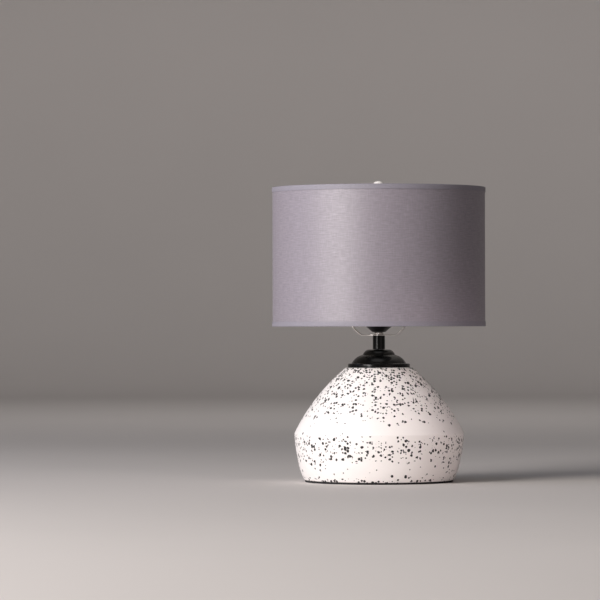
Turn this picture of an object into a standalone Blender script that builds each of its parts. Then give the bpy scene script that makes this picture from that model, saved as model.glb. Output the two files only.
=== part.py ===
"""Table lamp: speckled ceramic body, stepped black cap and neck, harp, drum shade, finial and bulb.

Run it with blender --background --python part.py, or from Blender's text editor.
+Z is up along the lamp's axis, +Y is the back, where the cord leaves, and the origin is the middle
of the underside of the foot pad. Every length is in metres.
"""

import math

import bmesh
import bpy
from mathutils import Matrix, Vector

MM = 0.001

# ---------------------------------------------------------------- driving dimensions

GAP = 0.3 * MM  # left between two pieces that touch

# ceramic body
FOOT_PAD_THICKNESS = 2.4 * MM
FOOT_PAD_INSET = 1.0 * MM
BODY_HEIGHT = 157.6 * MM
FOOT_RADIUS = 105.0 * MM
HIP_RADIUS = 114.2 * MM
HIP_HEIGHT = 29.0 * MM
RIDGE_RADIUS = 118.9 * MM
RIDGE_HEIGHT = 65.4 * MM
TOP_RADIUS = 46.6 * MM
UPPER_BULGE = 6.3 * MM
HIP_BULGE = 0.8 * MM
FOOT_BULGE = 1.2 * MM
BODY_WALL = 6.0 * MM
BODY_EDGE = 1.6 * MM
MOUTH_RADIUS = 8.0 * MM
BASE_BOARD_THICKNESS = 3.0 * MM

# cord outlet at the back, square to the wall
OUTLET_HEIGHT = 20.0 * MM
OUTLET_RADIUS = 6.4 * MM
CORD_BORE_RADIUS = 4.2 * MM
GROMMET_FLANGE = 2.6 * MM
GROMMET_FLANGE_THICKNESS = 1.8 * MM

# threaded lamp pipe and what it clamps
PIPE_RADIUS = 5.0 * MM
PIPE_WALL = 1.0 * MM
PIPE_TAIL = 5.0 * MM
PIPE_IN_SOCKET = 8.0 * MM
CLAMP_WASHER_RADIUS = 21.0 * MM
CLAMP_WASHER_THICKNESS = 2.0 * MM
LOCK_WASHER_THICKNESS = 1.2 * MM
PIPE_NUT_THICKNESS = 5.0 * MM
NUT_FLATS_RATIO = 2.8  # width across flats over the pipe's radius

# stepped cap and neck
CAP_HEIGHT = 24.8 * MM
CAP_SHEET = 1.0 * MM
CAP_RIM_RADIUS = 43.6 * MM
CAP_RIM_HEIGHT = 5.2 * MM
CAP_RIM_LEDGE = 5.2 * MM
CAP_STEP_HEIGHT = 17.2 * MM
CAP_STEP_RADIUS = 24.0 * MM
CAP_STEP_LEDGE = 1.4 * MM
CAP_CROWN_RADIUS = 15.4 * MM
LOWER_TIER_BULGE = 2.1 * MM
UPPER_TIER_BULGE = 1.2 * MM
NECK_RADIUS = 8.6 * MM
NECK_LENGTH = 19.2 * MM

# harp: saddle, wire loop, locking sleeves and seat
HARP_TURN = math.radians(-12)
HARP_HEIGHT = 192.9 * MM
SADDLE_SHEET = 1.4 * MM
SADDLE_WIDTH = 8.5 * MM
SADDLE_FLAT = 26.0 * MM
SADDLE_RISE = 10.5 * MM
SADDLE_ARM = 36.5 * MM
SADDLE_SHOULDER = 16.0 * MM
TAB_WIDTH = 4.0 * MM
TAB_LENGTH = 12.0 * MM
HARP_NUT_THICKNESS = 2.8 * MM
HARP_WIRE_RADIUS = 1.6 * MM
HARP_STRAIGHT = 29.0 * MM
HARP_HALF_WIDTH = 55.0 * MM
HARP_WIDEST = 0.50  # share of the harp's height where it is widest
HARP_FLAT_TOP = 7.5 * MM
SLEEVE_LENGTH = 14.0 * MM
SLEEVE_WALL = 0.7 * MM
SLEEVE_CLEARANCE = 0.45 * MM
SEAT_RADIUS = 8.0 * MM
SEAT_THICKNESS = 1.6 * MM
SEAT_BOSS_RADIUS = 4.6 * MM
STUD_RADIUS = 3.1 * MM
STUD_LENGTH = 12.0 * MM

# lampholder
HOLDER_ENTRY_RADIUS = 9.2 * MM
HOLDER_RADIUS = 19.8 * MM
HOLDER_CONE_HEIGHT = 9.1 * MM
HOLDER_FLOOR = 5.0 * MM
HOLDER_CAP_HEIGHT = 18.0 * MM
HOLDER_BODY_HEIGHT = 37.5 * MM
HOLDER_BODY_TAPER = 0.8 * MM
HOLDER_WALL = 1.8 * MM
INSERT_HEIGHT = 13.0 * MM
SET_SCREW_RADIUS = 1.5 * MM
SET_SCREW_DEPTH = 1.0 * MM
TERMINAL_SPREAD = 9.5 * MM
TERMINAL_HEAD_RADIUS = 2.8 * MM
TERMINAL_HEAD_THICKNESS = 1.8 * MM
TERMINAL_SHANK_RADIUS = 1.5 * MM
TERMINAL_SHANK_LENGTH = 6.0 * MM
THREAD_SHELL_SHEET = 0.5 * MM
THREAD_SHELL_HEIGHT = 19.0 * MM
CONTACT_SHEET = 0.6 * MM
CONTACT_WIDTH = 6.0 * MM
CONTACT_RISE = 2.4 * MM

# bulb
BULB_RADIUS = 30.0 * MM
BULB_LENGTH = 108.0 * MM
BULB_WALL = 1.2 * MM
BULB_SCREW_RADIUS = 13.0 * MM
BULB_SCREW_LENGTH = 20.0 * MM
BULB_COLLAR_HEIGHT = 34.0 * MM
BULB_COLLAR_FOOT = 14.4 * MM
BULB_INSULATOR_HEIGHT = 3.2 * MM
BULB_TIP_RADIUS = 4.6 * MM
BULB_TIP_HEIGHT = 1.4 * MM

# drum shade
SHADE_RADIUS = 150.0 * MM
SHADE_HEIGHT = 195.2 * MM
SPIDER_DROP = 14.9 * MM
TRIM_WIDTH = 7.0 * MM
TRIM_SHEET = 0.5 * MM
SKIN_GAP = 0.25 * MM
FABRIC_SHEET = 0.5 * MM
LINER_SHEET = 0.6 * MM
RING_WIRE_RADIUS = 1.5 * MM
ARM_WIRE_RADIUS = 1.4 * MM
ARM_COUNT = 3
ARM_RISE_START = 0.62  # share of the arm's run that stays level
HUB_RADIUS = 13.5 * MM
HUB_HOLE_RADIUS = 4.0 * MM
HUB_THICKNESS = 2.0 * MM

# finial
FINIAL_RADIUS = 9.8 * MM
FINIAL_COLLAR_RADIUS = 6.6 * MM
FINIAL_COLLAR_HEIGHT = 3.2 * MM
FINIAL_FLAT_RADIUS = 5.2 * MM
FINIAL_SLEEVE_WALL = 0.8 * MM
FINIAL_THREAD_DEPTH = 10.6 * MM

# facets round a full turn
LARGE_ROUND = 72
BODY_ROUND = 48
SMALL_ROUND = 32
TINY_ROUND = 16

# ---------------------------------------------------------------- levels up the axis

BODY_BASE_Z = FOOT_PAD_THICKNESS + GAP
BODY_TOP_Z = BODY_BASE_Z + BODY_HEIGHT
RIDGE_Z = BODY_BASE_Z + RIDGE_HEIGHT
CAP_BASE_Z = BODY_TOP_Z + GAP
CAP_TOP_Z = CAP_BASE_Z + CAP_HEIGHT
NECK_BASE_Z = CAP_TOP_Z + GAP
NECK_TOP_Z = NECK_BASE_Z + NECK_LENGTH
SADDLE_BASE_Z = NECK_TOP_Z + GAP
SADDLE_TOP_Z = SADDLE_BASE_Z + SADDLE_SHEET
HARP_NUT_Z = SADDLE_TOP_Z + GAP
HOLDER_Z = HARP_NUT_Z + HARP_NUT_THICKNESS + GAP
HOLDER_BODY_Z = HOLDER_Z + HOLDER_CAP_HEIGHT + GAP
INSERT_Z = HOLDER_BODY_Z + GAP
INSERT_TOP_Z = INSERT_Z + INSERT_HEIGHT
CONTACT_TOP_Z = INSERT_TOP_Z + GAP + CONTACT_RISE
BULB_Z = CONTACT_TOP_Z + GAP
SEAT_Z = SADDLE_BASE_Z + HARP_HEIGHT
HUB_Z = SEAT_Z + GAP
SHADE_TOP_Z = SEAT_Z + SPIDER_DROP
SHADE_BASE_Z = SHADE_TOP_Z - SHADE_HEIGHT
FINIAL_Z = HUB_Z + HUB_THICKNESS + GAP
CLAMP_Z = BODY_TOP_Z - BODY_WALL - GAP

# fits that several pieces share
PIPE_CLEAR_RADIUS = PIPE_RADIUS + GAP
NUT_RADIUS = PIPE_RADIUS * NUT_FLATS_RATIO / math.sqrt(3)
FABRIC_RADIUS = SHADE_RADIUS - TRIM_SHEET - SKIN_GAP
LINER_RADIUS = FABRIC_RADIUS - FABRIC_SHEET - SKIN_GAP
RING_RADIUS = LINER_RADIUS - LINER_SHEET - SKIN_GAP - RING_WIRE_RADIUS
RING_INSET = TRIM_SHEET + SKIN_GAP + RING_WIRE_RADIUS
HARP_LEG_X = SADDLE_ARM + SADDLE_SHEET / 2 + GAP + HARP_WIRE_RADIUS
SLEEVE_X = (SADDLE_ARM - SADDLE_SHEET / 2 + HARP_LEG_X + HARP_WIRE_RADIUS) / 2
SLEEVE_REACH = math.hypot(SLEEVE_X - SADDLE_ARM + SADDLE_SHEET / 2, TAB_WIDTH / 2)
SLEEVE_BORE = SLEEVE_REACH + SLEEVE_CLEARANCE
SLEEVE_Z = SADDLE_BASE_Z + SADDLE_SHOULDER + GAP
INSERT_RADIUS = HOLDER_RADIUS - HOLDER_BODY_TAPER - HOLDER_WALL - GAP
SHELL_BORE = BULB_SCREW_RADIUS + GAP

# ---------------------------------------------------------------- scene, materials, tools


def clear_scene():
    for obj in list(bpy.data.objects):
        bpy.data.objects.remove(obj, do_unlink=True)


def collection(name):
    made = bpy.data.collections.new(name)
    bpy.context.scene.collection.children.link(made)
    return made


def material(name, colour, roughness, metallic=0.0):
    """A Principled material from a linear colour."""
    made = bpy.data.materials.new(name)
    made.use_nodes = True
    shader = made.node_tree.nodes["Principled BSDF"]
    shader.inputs["Base Color"].default_value = (*colour, 1.0)
    shader.inputs["Roughness"].default_value = roughness
    shader.inputs["Metallic"].default_value = metallic
    made.diffuse_color = (*colour, 1.0)
    return made


clear_scene()
PARTS = collection("table_lamp")
CUTTERS = collection("cutters")

CERAMIC = material("speckled_ceramic", (0.80, 0.76, 0.74), 0.45)
FOAM = material("black_foam", (0.012, 0.012, 0.012), 0.95)
BOARD = material("fibreboard", (0.19, 0.12, 0.07), 0.85)
RUBBER = material("black_rubber", (0.015, 0.015, 0.015), 0.7)
BLACK_STEEL = material("black_painted_steel", (0.008, 0.008, 0.009), 0.35)
CHROME = material("chrome", (0.62, 0.60, 0.59), 0.12, 1.0)
ZINC = material("zinc_steel", (0.42, 0.42, 0.43), 0.4, 1.0)
BAKELITE = material("black_thermoset", (0.010, 0.010, 0.010), 0.4)
PORCELAIN = material("porcelain", (0.72, 0.70, 0.66), 0.35)
BRASS = material("brass", (0.60, 0.42, 0.14), 0.3, 1.0)
GREY_FABRIC = material("grey_fabric", (0.440, 0.390, 0.437), 0.75)
GREY_TRIM = material("grey_trim", (0.420, 0.400, 0.450), 0.7)
LINER = material("white_liner", (0.78, 0.77, 0.74), 0.5)
WHITE_GLAZE = material("white_finial", (0.82, 0.79, 0.76), 0.2)
OPAL = material("opal_diffuser", (0.85, 0.85, 0.83), 0.4)
BULB_PLASTIC = material("white_plastic", (0.78, 0.78, 0.77), 0.45)


def place(obj, finish, smooth_angle=35):
    """Links a piece, gives it its finish and shades it smooth."""
    PARTS.objects.link(obj)
    obj.data.materials.append(finish)
    if obj.type == "MESH":
        obj.data.shade_smooth()
        obj.data.set_sharp_from_angle(angle=math.radians(smooth_angle))
    return obj


def arc(start, end, bulge, steps):
    """Points on the circular arc from start to end, left of the line by bulge, without the start."""
    a, b = Vector(start), Vector(end)
    chord = b - a
    half = chord.length / 2
    radius = (half * half + bulge * bulge) / (2 * bulge)
    side = Vector((-chord.y, chord.x)).normalized()
    centre = (a + b) / 2 + side * (bulge - radius)
    sweep = 2 * math.asin(min(1.0, half / radius))
    points = []
    for i in range(1, steps + 1):
        turn = Matrix.Rotation(-sweep * i / steps, 2)
        points.append(tuple(centre + turn @ (a - centre)))
    return points


def profile_mesh(name, points, closed):
    """A chain of edges in the XZ plane, for a Screw modifier."""
    mesh = bpy.data.meshes.new(name)
    bm = bmesh.new()
    verts = [bm.verts.new((r, 0, z)) for r, z in points]
    for a, b in zip(verts, verts[1:]):
        bm.edges.new((a, b))
    if closed:
        bm.edges.new((verts[-1], verts[0]))
    bm.to_mesh(mesh)
    bm.free()
    return mesh


def add_screw(obj, steps):
    screw = obj.modifiers.new("turn", "SCREW")
    screw.axis = "Z"
    screw.angle = 2 * math.pi
    screw.steps = steps
    screw.render_steps = steps
    screw.use_merge_vertices = True
    screw.merge_threshold = 0.00001
    screw.use_smooth_shade = True


def turned(name, points, finish, steps=SMALL_ROUND, closed=False):
    """A piece turned round the lamp's axis: points run down its outer side, top to bottom."""
    obj = bpy.data.objects.new(name, profile_mesh(name, points, closed))
    add_screw(obj, steps)
    return place(obj, finish)


def tube(name, bore, radius, low, high, finish, steps=SMALL_ROUND):
    """A plain ring or tube between two levels."""
    outline = [(radius, high), (radius, low), (bore, low), (bore, high)]
    return turned(name, outline, finish, steps, closed=True)


def disc(name, radius, low, high, finish, steps=SMALL_ROUND):
    outline = [(0, high), (radius, high), (radius, low), (0, low)]
    return turned(name, outline, finish, steps)


def sheet_shell(name, points, sheet, finish, steps):
    """A turned sheet: an open outer surface, thickened inwards."""
    obj = bpy.data.objects.new(name, profile_mesh(name, points, closed=False))
    add_screw(obj, steps)
    solid = obj.modifiers.new("sheet", "SOLIDIFY")
    solid.thickness = sheet
    solid.offset = -1
    solid.use_even_offset = True
    return place(obj, finish)


def ribbon(name, stations, sheet, finish):
    """A bent strip: stations are (x, z, width), and the sheet is thickened to both sides."""
    mesh = bpy.data.meshes.new(name)
    bm = bmesh.new()
    rows = []
    for x, z, width in stations:
        rows.append([bm.verts.new((x, y, z)) for y in (-width / 2, width / 2)])
    for (a, b), (c, d) in zip(rows, rows[1:]):
        bm.faces.new((a, c, d, b))
    bm.to_mesh(mesh)
    bm.free()
    obj = bpy.data.objects.new(name, mesh)
    solid = obj.modifiers.new("sheet", "SOLIDIFY")
    solid.thickness = sheet
    solid.offset = 0
    solid.use_even_offset = True
    return place(obj, finish)


def wire(name, points, radius, finish):
    """A round wire along points, with flat ends."""
    curve = bpy.data.curves.new(name, "CURVE")
    curve.dimensions = "3D"
    curve.bevel_depth = radius
    curve.bevel_resolution = 2
    curve.use_fill_caps = True
    spline = curve.splines.new("POLY")
    spline.points.add(len(points) - 1)
    for point, co in zip(spline.points, points):
        point.co = (*co, 1.0)
    obj = bpy.data.objects.new(name, curve)
    return place(obj, finish)


def ring(name, radius, wire_radius, level, finish):
    """A closed wire ring round the axis."""
    bpy.ops.mesh.primitive_torus_add(
        location=(0, 0, level),
        major_radius=radius,
        minor_radius=wire_radius,
        major_segments=LARGE_ROUND,
        minor_segments=6,
    )
    obj = bpy.context.object
    obj.name = name
    for holder in list(obj.users_collection):
        holder.objects.unlink(obj)
    return place(obj, finish)


def prism(name, radius, depth, sides, low):
    """An upright prism or cylinder standing on low, not linked yet."""
    mesh = bpy.data.meshes.new(name)
    bm = bmesh.new()
    bmesh.ops.create_cone(
        bm, cap_ends=True, segments=sides, radius1=radius, radius2=radius, depth=depth
    )
    bmesh.ops.translate(bm, vec=(0, 0, low + depth / 2), verts=bm.verts)
    bm.to_mesh(mesh)
    bm.free()
    return bpy.data.objects.new(name, mesh)


def boolean(obj, other, operation):
    """Cuts or joins with a helper object, which stays hidden in renders."""
    if other.name not in CUTTERS.objects:
        CUTTERS.objects.link(other)
    other.hide_render = True
    other.display_type = "WIRE"
    cut = obj.modifiers.new(other.name, "BOOLEAN")
    cut.operation = operation
    cut.object = other
    cut.solver = "EXACT"


def soften(obj, width, angle=30, segments=1):
    """Small rounded edges."""
    bevel = obj.modifiers.new("edges", "BEVEL")
    bevel.width = width
    bevel.segments = segments
    bevel.limit_method = "ANGLE"
    bevel.angle_limit = math.radians(angle)


def hex_nut(name, thickness, low, finish):
    """A nut on the lamp pipe."""
    nut = place(prism(name, NUT_RADIUS, thickness, 6, low), finish)
    hole = prism(name + "_hole", PIPE_CLEAR_RADIUS, thickness * 3, TINY_ROUND, low - thickness)
    boolean(nut, hole, "DIFFERENCE")
    return nut


# ---------------------------------------------------------------- ceramic body and foot


def inner_top_radius():
    """Where the inner faces of the top and the slope meet, a wall away from the outside."""
    slope = math.atan2(BODY_HEIGHT - RIDGE_HEIGHT, RIDGE_RADIUS - TOP_RADIUS)
    return TOP_RADIUS - BODY_WALL * math.tan(slope / 2)


def lower_wall(wall, steps):
    """Points from the ridge down over the hip to the foot, this far inside the outer surface."""
    ridge = (RIDGE_RADIUS - wall, RIDGE_Z)
    hip = (HIP_RADIUS - wall, BODY_BASE_Z + HIP_HEIGHT)
    foot = (FOOT_RADIUS - wall, BODY_BASE_Z)
    return [ridge, *arc(ridge, hip, HIP_BULGE, steps), *arc(hip, foot, FOOT_BULGE, steps)]


def outlet_frame():
    """Point on the back of the outer wall at the cord outlet, and the wall's outward direction."""
    line = lower_wall(0, 3)
    level = BODY_BASE_Z + OUTLET_HEIGHT
    for (r0, z0), (r1, z1) in zip(line, line[1:]):
        if z1 <= level <= z0:
            share = (level - z0) / (z1 - z0)
            point = Vector((0, r0 + (r1 - r0) * share, level))
            return point, Vector((0, z0 - z1, r1 - r0)).normalized()
    return Vector((0, FOOT_RADIUS, level)), Vector((0, 1, 0))


def along_outlet(obj):
    """Turns an upright piece built round the origin to stand out of the cord outlet."""
    point, outward = outlet_frame()
    obj.matrix_world = Matrix.Translation(point) @ outward.to_track_quat("Z", "Y").to_matrix().to_4x4()


def build_body():
    top = (TOP_RADIUS, BODY_TOP_Z)
    inner_top = (inner_top_radius(), BODY_TOP_Z - BODY_WALL)
    outer = lower_wall(0, 3)
    inner = lower_wall(BODY_WALL, 1)
    outline = [(MOUTH_RADIUS, BODY_TOP_Z), top, *arc(top, outer[0], UPPER_BULGE, 7), *outer[1:]]
    inner = [inner_top, *arc(inner_top, inner[0], UPPER_BULGE, 4), *inner[1:]]
    outline += reversed(inner)
    outline.append((MOUTH_RADIUS, BODY_TOP_Z - BODY_WALL))
    body = turned("ceramic_body", outline, CERAMIC, BODY_ROUND, closed=True)
    soften(body, BODY_EDGE, angle=50)
    hole = prism("outlet_hole", OUTLET_RADIUS, BODY_WALL * 6, TINY_ROUND, -BODY_WALL * 3)
    along_outlet(hole)
    boolean(body, hole, "DIFFERENCE")


def build_grommet():
    """A bush with a flange outside the wall and a snap ring inside it."""
    neck = OUTLET_RADIUS - GAP
    seat = 2 * GAP
    back = -BODY_WALL - 3 * GAP
    flange = neck + GROMMET_FLANGE
    outline = [
        (CORD_BORE_RADIUS, seat + GROMMET_FLANGE_THICKNESS),
        (flange - GROMMET_FLANGE / 3, seat + GROMMET_FLANGE_THICKNESS),
        (flange, seat + GROMMET_FLANGE_THICKNESS / 2),
        (flange, seat),
        (neck, seat),
        (neck, back - GROMMET_FLANGE_THICKNESS),
        (CORD_BORE_RADIUS, back - GROMMET_FLANGE_THICKNESS),
    ]
    along_outlet(turned("cord_grommet", outline, RUBBER, 24, closed=True))


def build_foot():
    disc("foot_pad", FOOT_RADIUS - FOOT_PAD_INSET, 0, FOOT_PAD_THICKNESS, FOAM, BODY_ROUND)
    board_radius = FOOT_RADIUS - BODY_WALL - 2 * GAP
    low = FOOT_PAD_THICKNESS + GAP
    disc("base_board", board_radius, low, low + BASE_BOARD_THICKNESS, BOARD, BODY_ROUND)


# ---------------------------------------------------------------- pipe, cap and neck


def build_pipe_stack():
    washer_low = CLAMP_Z - CLAMP_WASHER_THICKNESS
    lock_low = washer_low - GAP - LOCK_WASHER_THICKNESS
    nut_low = lock_low - GAP - PIPE_NUT_THICKNESS
    tube("clamp_washer", PIPE_CLEAR_RADIUS, CLAMP_WASHER_RADIUS, washer_low, CLAMP_Z, ZINC)
    lock_radius = NUT_RADIUS
    tube("lock_washer", PIPE_CLEAR_RADIUS, lock_radius, lock_low, lock_low + LOCK_WASHER_THICKNESS, ZINC)
    hex_nut("pipe_nut", PIPE_NUT_THICKNESS, nut_low, ZINC)
    pipe_low = nut_low - PIPE_TAIL
    pipe_high = HOLDER_Z + PIPE_IN_SOCKET
    tube("lamp_pipe", PIPE_RADIUS - PIPE_WALL, PIPE_RADIUS, pipe_low, pipe_high, ZINC, TINY_ROUND)


def build_cap():
    """A spun cap: a low rim, then two domed tiers up to a flat crown that carries the neck."""
    rim_top = CAP_BASE_Z + CAP_RIM_HEIGHT
    step_z = CAP_BASE_Z + CAP_STEP_HEIGHT
    tier_foot = (CAP_RIM_RADIUS - CAP_RIM_LEDGE, rim_top)
    tier_head = (CAP_STEP_RADIUS, step_z)
    crown_foot = (CAP_STEP_RADIUS - CAP_STEP_LEDGE, step_z + CAP_STEP_LEDGE / 3)
    crown_head = (CAP_CROWN_RADIUS, CAP_TOP_Z)
    outline = [(PIPE_CLEAR_RADIUS, CAP_TOP_Z), crown_head]
    outline += arc(crown_head, crown_foot, UPPER_TIER_BULGE, 3)
    outline.append(tier_head)
    outline += arc(tier_head, tier_foot, LOWER_TIER_BULGE, 4)
    outline.append((CAP_RIM_RADIUS - CAP_RIM_HEIGHT / 4, rim_top))
    outline.append((CAP_RIM_RADIUS, rim_top - CAP_RIM_HEIGHT / 3))
    outline.append((CAP_RIM_RADIUS, CAP_BASE_Z))
    sheet_shell("vase_cap", outline, CAP_SHEET, BLACK_STEEL, SMALL_ROUND)


def build_neck():
    tube("neck_tube", PIPE_CLEAR_RADIUS, NECK_RADIUS, NECK_BASE_Z, NECK_TOP_Z, BLACK_STEEL)


# ---------------------------------------------------------------- harp


def build_saddle(pivot):
    """A pressed strip: a flat on the neck, two risers, and a narrow tab at the top of each arm."""
    mid = SADDLE_BASE_Z + SADDLE_SHEET / 2
    shoulder = SADDLE_BASE_Z + SADDLE_SHOULDER
    half = [
        (0, mid, SADDLE_WIDTH),
        (SADDLE_FLAT, mid, SADDLE_WIDTH),
        (SADDLE_ARM, SADDLE_BASE_Z + SADDLE_RISE, SADDLE_WIDTH),
        (SADDLE_ARM, shoulder - SADDLE_SHEET, SADDLE_WIDTH),
        (SADDLE_ARM, shoulder, TAB_WIDTH),
        (SADDLE_ARM, shoulder + TAB_LENGTH, TAB_WIDTH),
    ]
    stations = [(-x, z, width) for x, z, width in reversed(half[1:])] + half
    saddle = ribbon("harp_saddle", stations, SADDLE_SHEET, CHROME)
    eye = prism("saddle_eye", NECK_RADIUS, SADDLE_SHEET, SMALL_ROUND, SADDLE_BASE_Z)
    boolean(saddle, eye, "UNION")
    hole = prism("saddle_hole", PIPE_CLEAR_RADIUS, SADDLE_SHEET * 3, TINY_ROUND, SADDLE_BASE_Z - SADDLE_SHEET)
    boolean(saddle, hole, "DIFFERENCE")
    saddle.parent = pivot


def bezier(a, b, c, d, steps):
    """Points on a cubic Bezier curve, without its start."""
    points = []
    for i in range(1, steps + 1):
        t = i / steps
        weights = ((1 - t) ** 3, 3 * t * (1 - t) ** 2, 3 * t * t * (1 - t), t**3)
        x = sum(w * p[0] for w, p in zip(weights, (a, b, c, d)))
        z = sum(w * p[1] for w, p in zip(weights, (a, b, c, d)))
        points.append((x, z))
    return points


def harp_wire_z():
    """Level of the wire's middle where it passes through the seat's boss."""
    return SEAT_Z - SEAT_THICKNESS - HARP_WIRE_RADIUS - 2 * GAP


def build_harp_loop(pivot):
    foot = (HARP_LEG_X, SLEEVE_Z)
    knee = (HARP_LEG_X, SLEEVE_Z + HARP_STRAIGHT)
    top = (HARP_FLAT_TOP, harp_wire_z())
    wide = (HARP_HALF_WIDTH, SADDLE_BASE_Z + HARP_HEIGHT * HARP_WIDEST)
    lower, upper = wide[1] - knee[1], top[1] - wide[1]
    half = [foot, knee]
    half += bezier(knee, (knee[0], knee[1] + lower / 2), (wide[0], wide[1] - lower / 2), wide, 8)
    half += bezier(wide, (wide[0], wide[1] + upper * 0.6), (top[0] + wide[0] * 0.55, top[1]), top, 12)
    points = [(x, 0, z) for x, z in half] + [(-x, 0, z) for x, z in reversed(half)]
    wire("harp_loop", points, HARP_WIRE_RADIUS, CHROME).parent = pivot


def build_harp_seat(pivot):
    """A flange and stud on a boss that the top of the loop runs through."""
    boss_low = harp_wire_z() - HARP_WIRE_RADIUS - 2 * GAP - SEAT_THICKNESS / 2
    outline = [
        (0, SEAT_Z + STUD_LENGTH),
        (STUD_RADIUS - 2 * GAP, SEAT_Z + STUD_LENGTH),
        (STUD_RADIUS, SEAT_Z + STUD_LENGTH - 2 * GAP),
        (STUD_RADIUS, SEAT_Z),
        (SEAT_RADIUS, SEAT_Z),
        (SEAT_RADIUS, SEAT_Z - SEAT_THICKNESS),
        (SEAT_BOSS_RADIUS, SEAT_Z - SEAT_THICKNESS),
        (SEAT_BOSS_RADIUS, boss_low),
        (0, boss_low),
    ]
    seat = turned("harp_seat", outline, CHROME, 24)
    bore = prism("seat_bore", HARP_WIRE_RADIUS + GAP, SEAT_RADIUS * 3, TINY_ROUND, -SEAT_RADIUS * 1.5)
    bore.rotation_euler = (0, math.pi / 2, 0)
    bore.location = (0, 0, harp_wire_z())
    boolean(seat, bore, "DIFFERENCE")
    bore.parent = pivot
    seat.parent = pivot


def build_sleeves(pivot):
    for side, name in ((-1, "harp_sleeve_left"), (1, "harp_sleeve_right")):
        outer = SLEEVE_BORE + SLEEVE_WALL
        sleeve = tube(name, SLEEVE_BORE, outer, 0, SLEEVE_LENGTH, CHROME, 24)
        sleeve.location = (side * SLEEVE_X, 0, SLEEVE_Z)
        sleeve.parent = pivot


def build_harp():
    pivot = bpy.data.objects.new("harp_pivot", None)
    PARTS.objects.link(pivot)
    build_saddle(pivot)
    build_harp_loop(pivot)
    build_harp_seat(pivot)
    build_sleeves(pivot)
    pivot.rotation_euler = (0, 0, HARP_TURN)
    hex_nut("harp_nut", HARP_NUT_THICKNESS, HARP_NUT_Z, CHROME)


# ---------------------------------------------------------------- lampholder


def build_holder_cap():
    cone_top = HOLDER_Z + HOLDER_CONE_HEIGHT
    top = HOLDER_Z + HOLDER_CAP_HEIGHT
    floor = HOLDER_Z + HOLDER_FLOOR
    slope = (HOLDER_RADIUS - HOLDER_ENTRY_RADIUS) / HOLDER_CONE_HEIGHT
    floor_radius = HOLDER_ENTRY_RADIUS + slope * HOLDER_FLOOR - 1.5 * HOLDER_WALL
    outline = [
        (HOLDER_RADIUS, top),
        (HOLDER_RADIUS, cone_top),
        (HOLDER_ENTRY_RADIUS, HOLDER_Z),
        (PIPE_CLEAR_RADIUS, HOLDER_Z),
        (PIPE_CLEAR_RADIUS, floor),
        (floor_radius, floor),
        (HOLDER_RADIUS - HOLDER_WALL, cone_top + HOLDER_WALL),
        (HOLDER_RADIUS - HOLDER_WALL, top),
    ]
    cap = turned("holder_cap", outline, BAKELITE, closed=True)
    hole = prism("set_screw_hole", SET_SCREW_RADIUS + GAP, HOLDER_RADIUS, 16, 0)
    hole.rotation_euler = (-math.pi / 2, 0, 0)
    hole.location = (0, 0, HOLDER_Z + HOLDER_FLOOR / 2)
    boolean(cap, hole, "DIFFERENCE")
    outer = HOLDER_ENTRY_RADIUS + slope * (HOLDER_FLOOR / 2 - SET_SCREW_RADIUS)
    length = outer - SET_SCREW_DEPTH - PIPE_CLEAR_RADIUS
    screw = place(prism("holder_set_screw", SET_SCREW_RADIUS, length, 16, PIPE_CLEAR_RADIUS), ZINC)
    screw.rotation_euler = hole.rotation_euler
    screw.location = hole.location


def build_holder_body():
    top = HOLDER_BODY_Z + HOLDER_BODY_HEIGHT
    mouth = HOLDER_RADIUS - HOLDER_BODY_TAPER
    outline = [
        (mouth, top),
        (HOLDER_RADIUS, HOLDER_BODY_Z),
        (mouth - HOLDER_WALL, HOLDER_BODY_Z),
        (mouth - HOLDER_WALL, top - HOLDER_WALL),
        (SHELL_BORE + 2 * GAP, top - HOLDER_WALL),
        (SHELL_BORE + 2 * GAP, top),
    ]
    turned("holder_body", outline, BAKELITE, closed=True)


def build_insert():
    insert = disc("holder_insert", INSERT_RADIUS, INSERT_Z, INSERT_TOP_Z, PORCELAIN)
    for side, name in ((-1, "terminal_screw_left"), (1, "terminal_screw_right")):
        depth = TERMINAL_SHANK_LENGTH + GAP
        hole = prism(name + "_hole", TERMINAL_SHANK_RADIUS + GAP, depth * 2, 16, INSERT_Z - depth)
        hole.location.x = side * TERMINAL_SPREAD
        boolean(insert, hole, "DIFFERENCE")
        under = INSERT_Z - GAP
        outline = [
            (0, under + TERMINAL_SHANK_LENGTH),
            (TERMINAL_SHANK_RADIUS, under + TERMINAL_SHANK_LENGTH),
            (TERMINAL_SHANK_RADIUS, under),
            (TERMINAL_HEAD_RADIUS, under),
            (TERMINAL_HEAD_RADIUS, under - TERMINAL_HEAD_THICKNESS),
            (0, under - TERMINAL_HEAD_THICKNESS),
        ]
        turned(name, outline, BRASS, 16).location.x = side * TERMINAL_SPREAD
    shell_low = INSERT_TOP_Z + GAP
    outer = SHELL_BORE + THREAD_SHELL_SHEET
    tube("thread_shell", SHELL_BORE, outer, shell_low, shell_low + THREAD_SHELL_HEIGHT, BRASS)


def build_contact():
    """A spring tongue: a foot on the insert, a rise, and a flat under the bulb's tip."""
    low = INSERT_TOP_Z + GAP + CONTACT_SHEET / 2
    high = CONTACT_TOP_Z - CONTACT_SHEET / 2
    foot = SHELL_BORE - GAP - CONTACT_SHEET
    stations = [
        (-foot * 0.75, low, CONTACT_WIDTH),
        (-foot * 0.45, low, CONTACT_WIDTH),
        (-foot * 0.15, high, CONTACT_WIDTH),
        (foot * 0.3, high, CONTACT_WIDTH),
    ]
    ribbon("centre_contact", stations, CONTACT_SHEET, BRASS)


# ---------------------------------------------------------------- bulb


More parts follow.
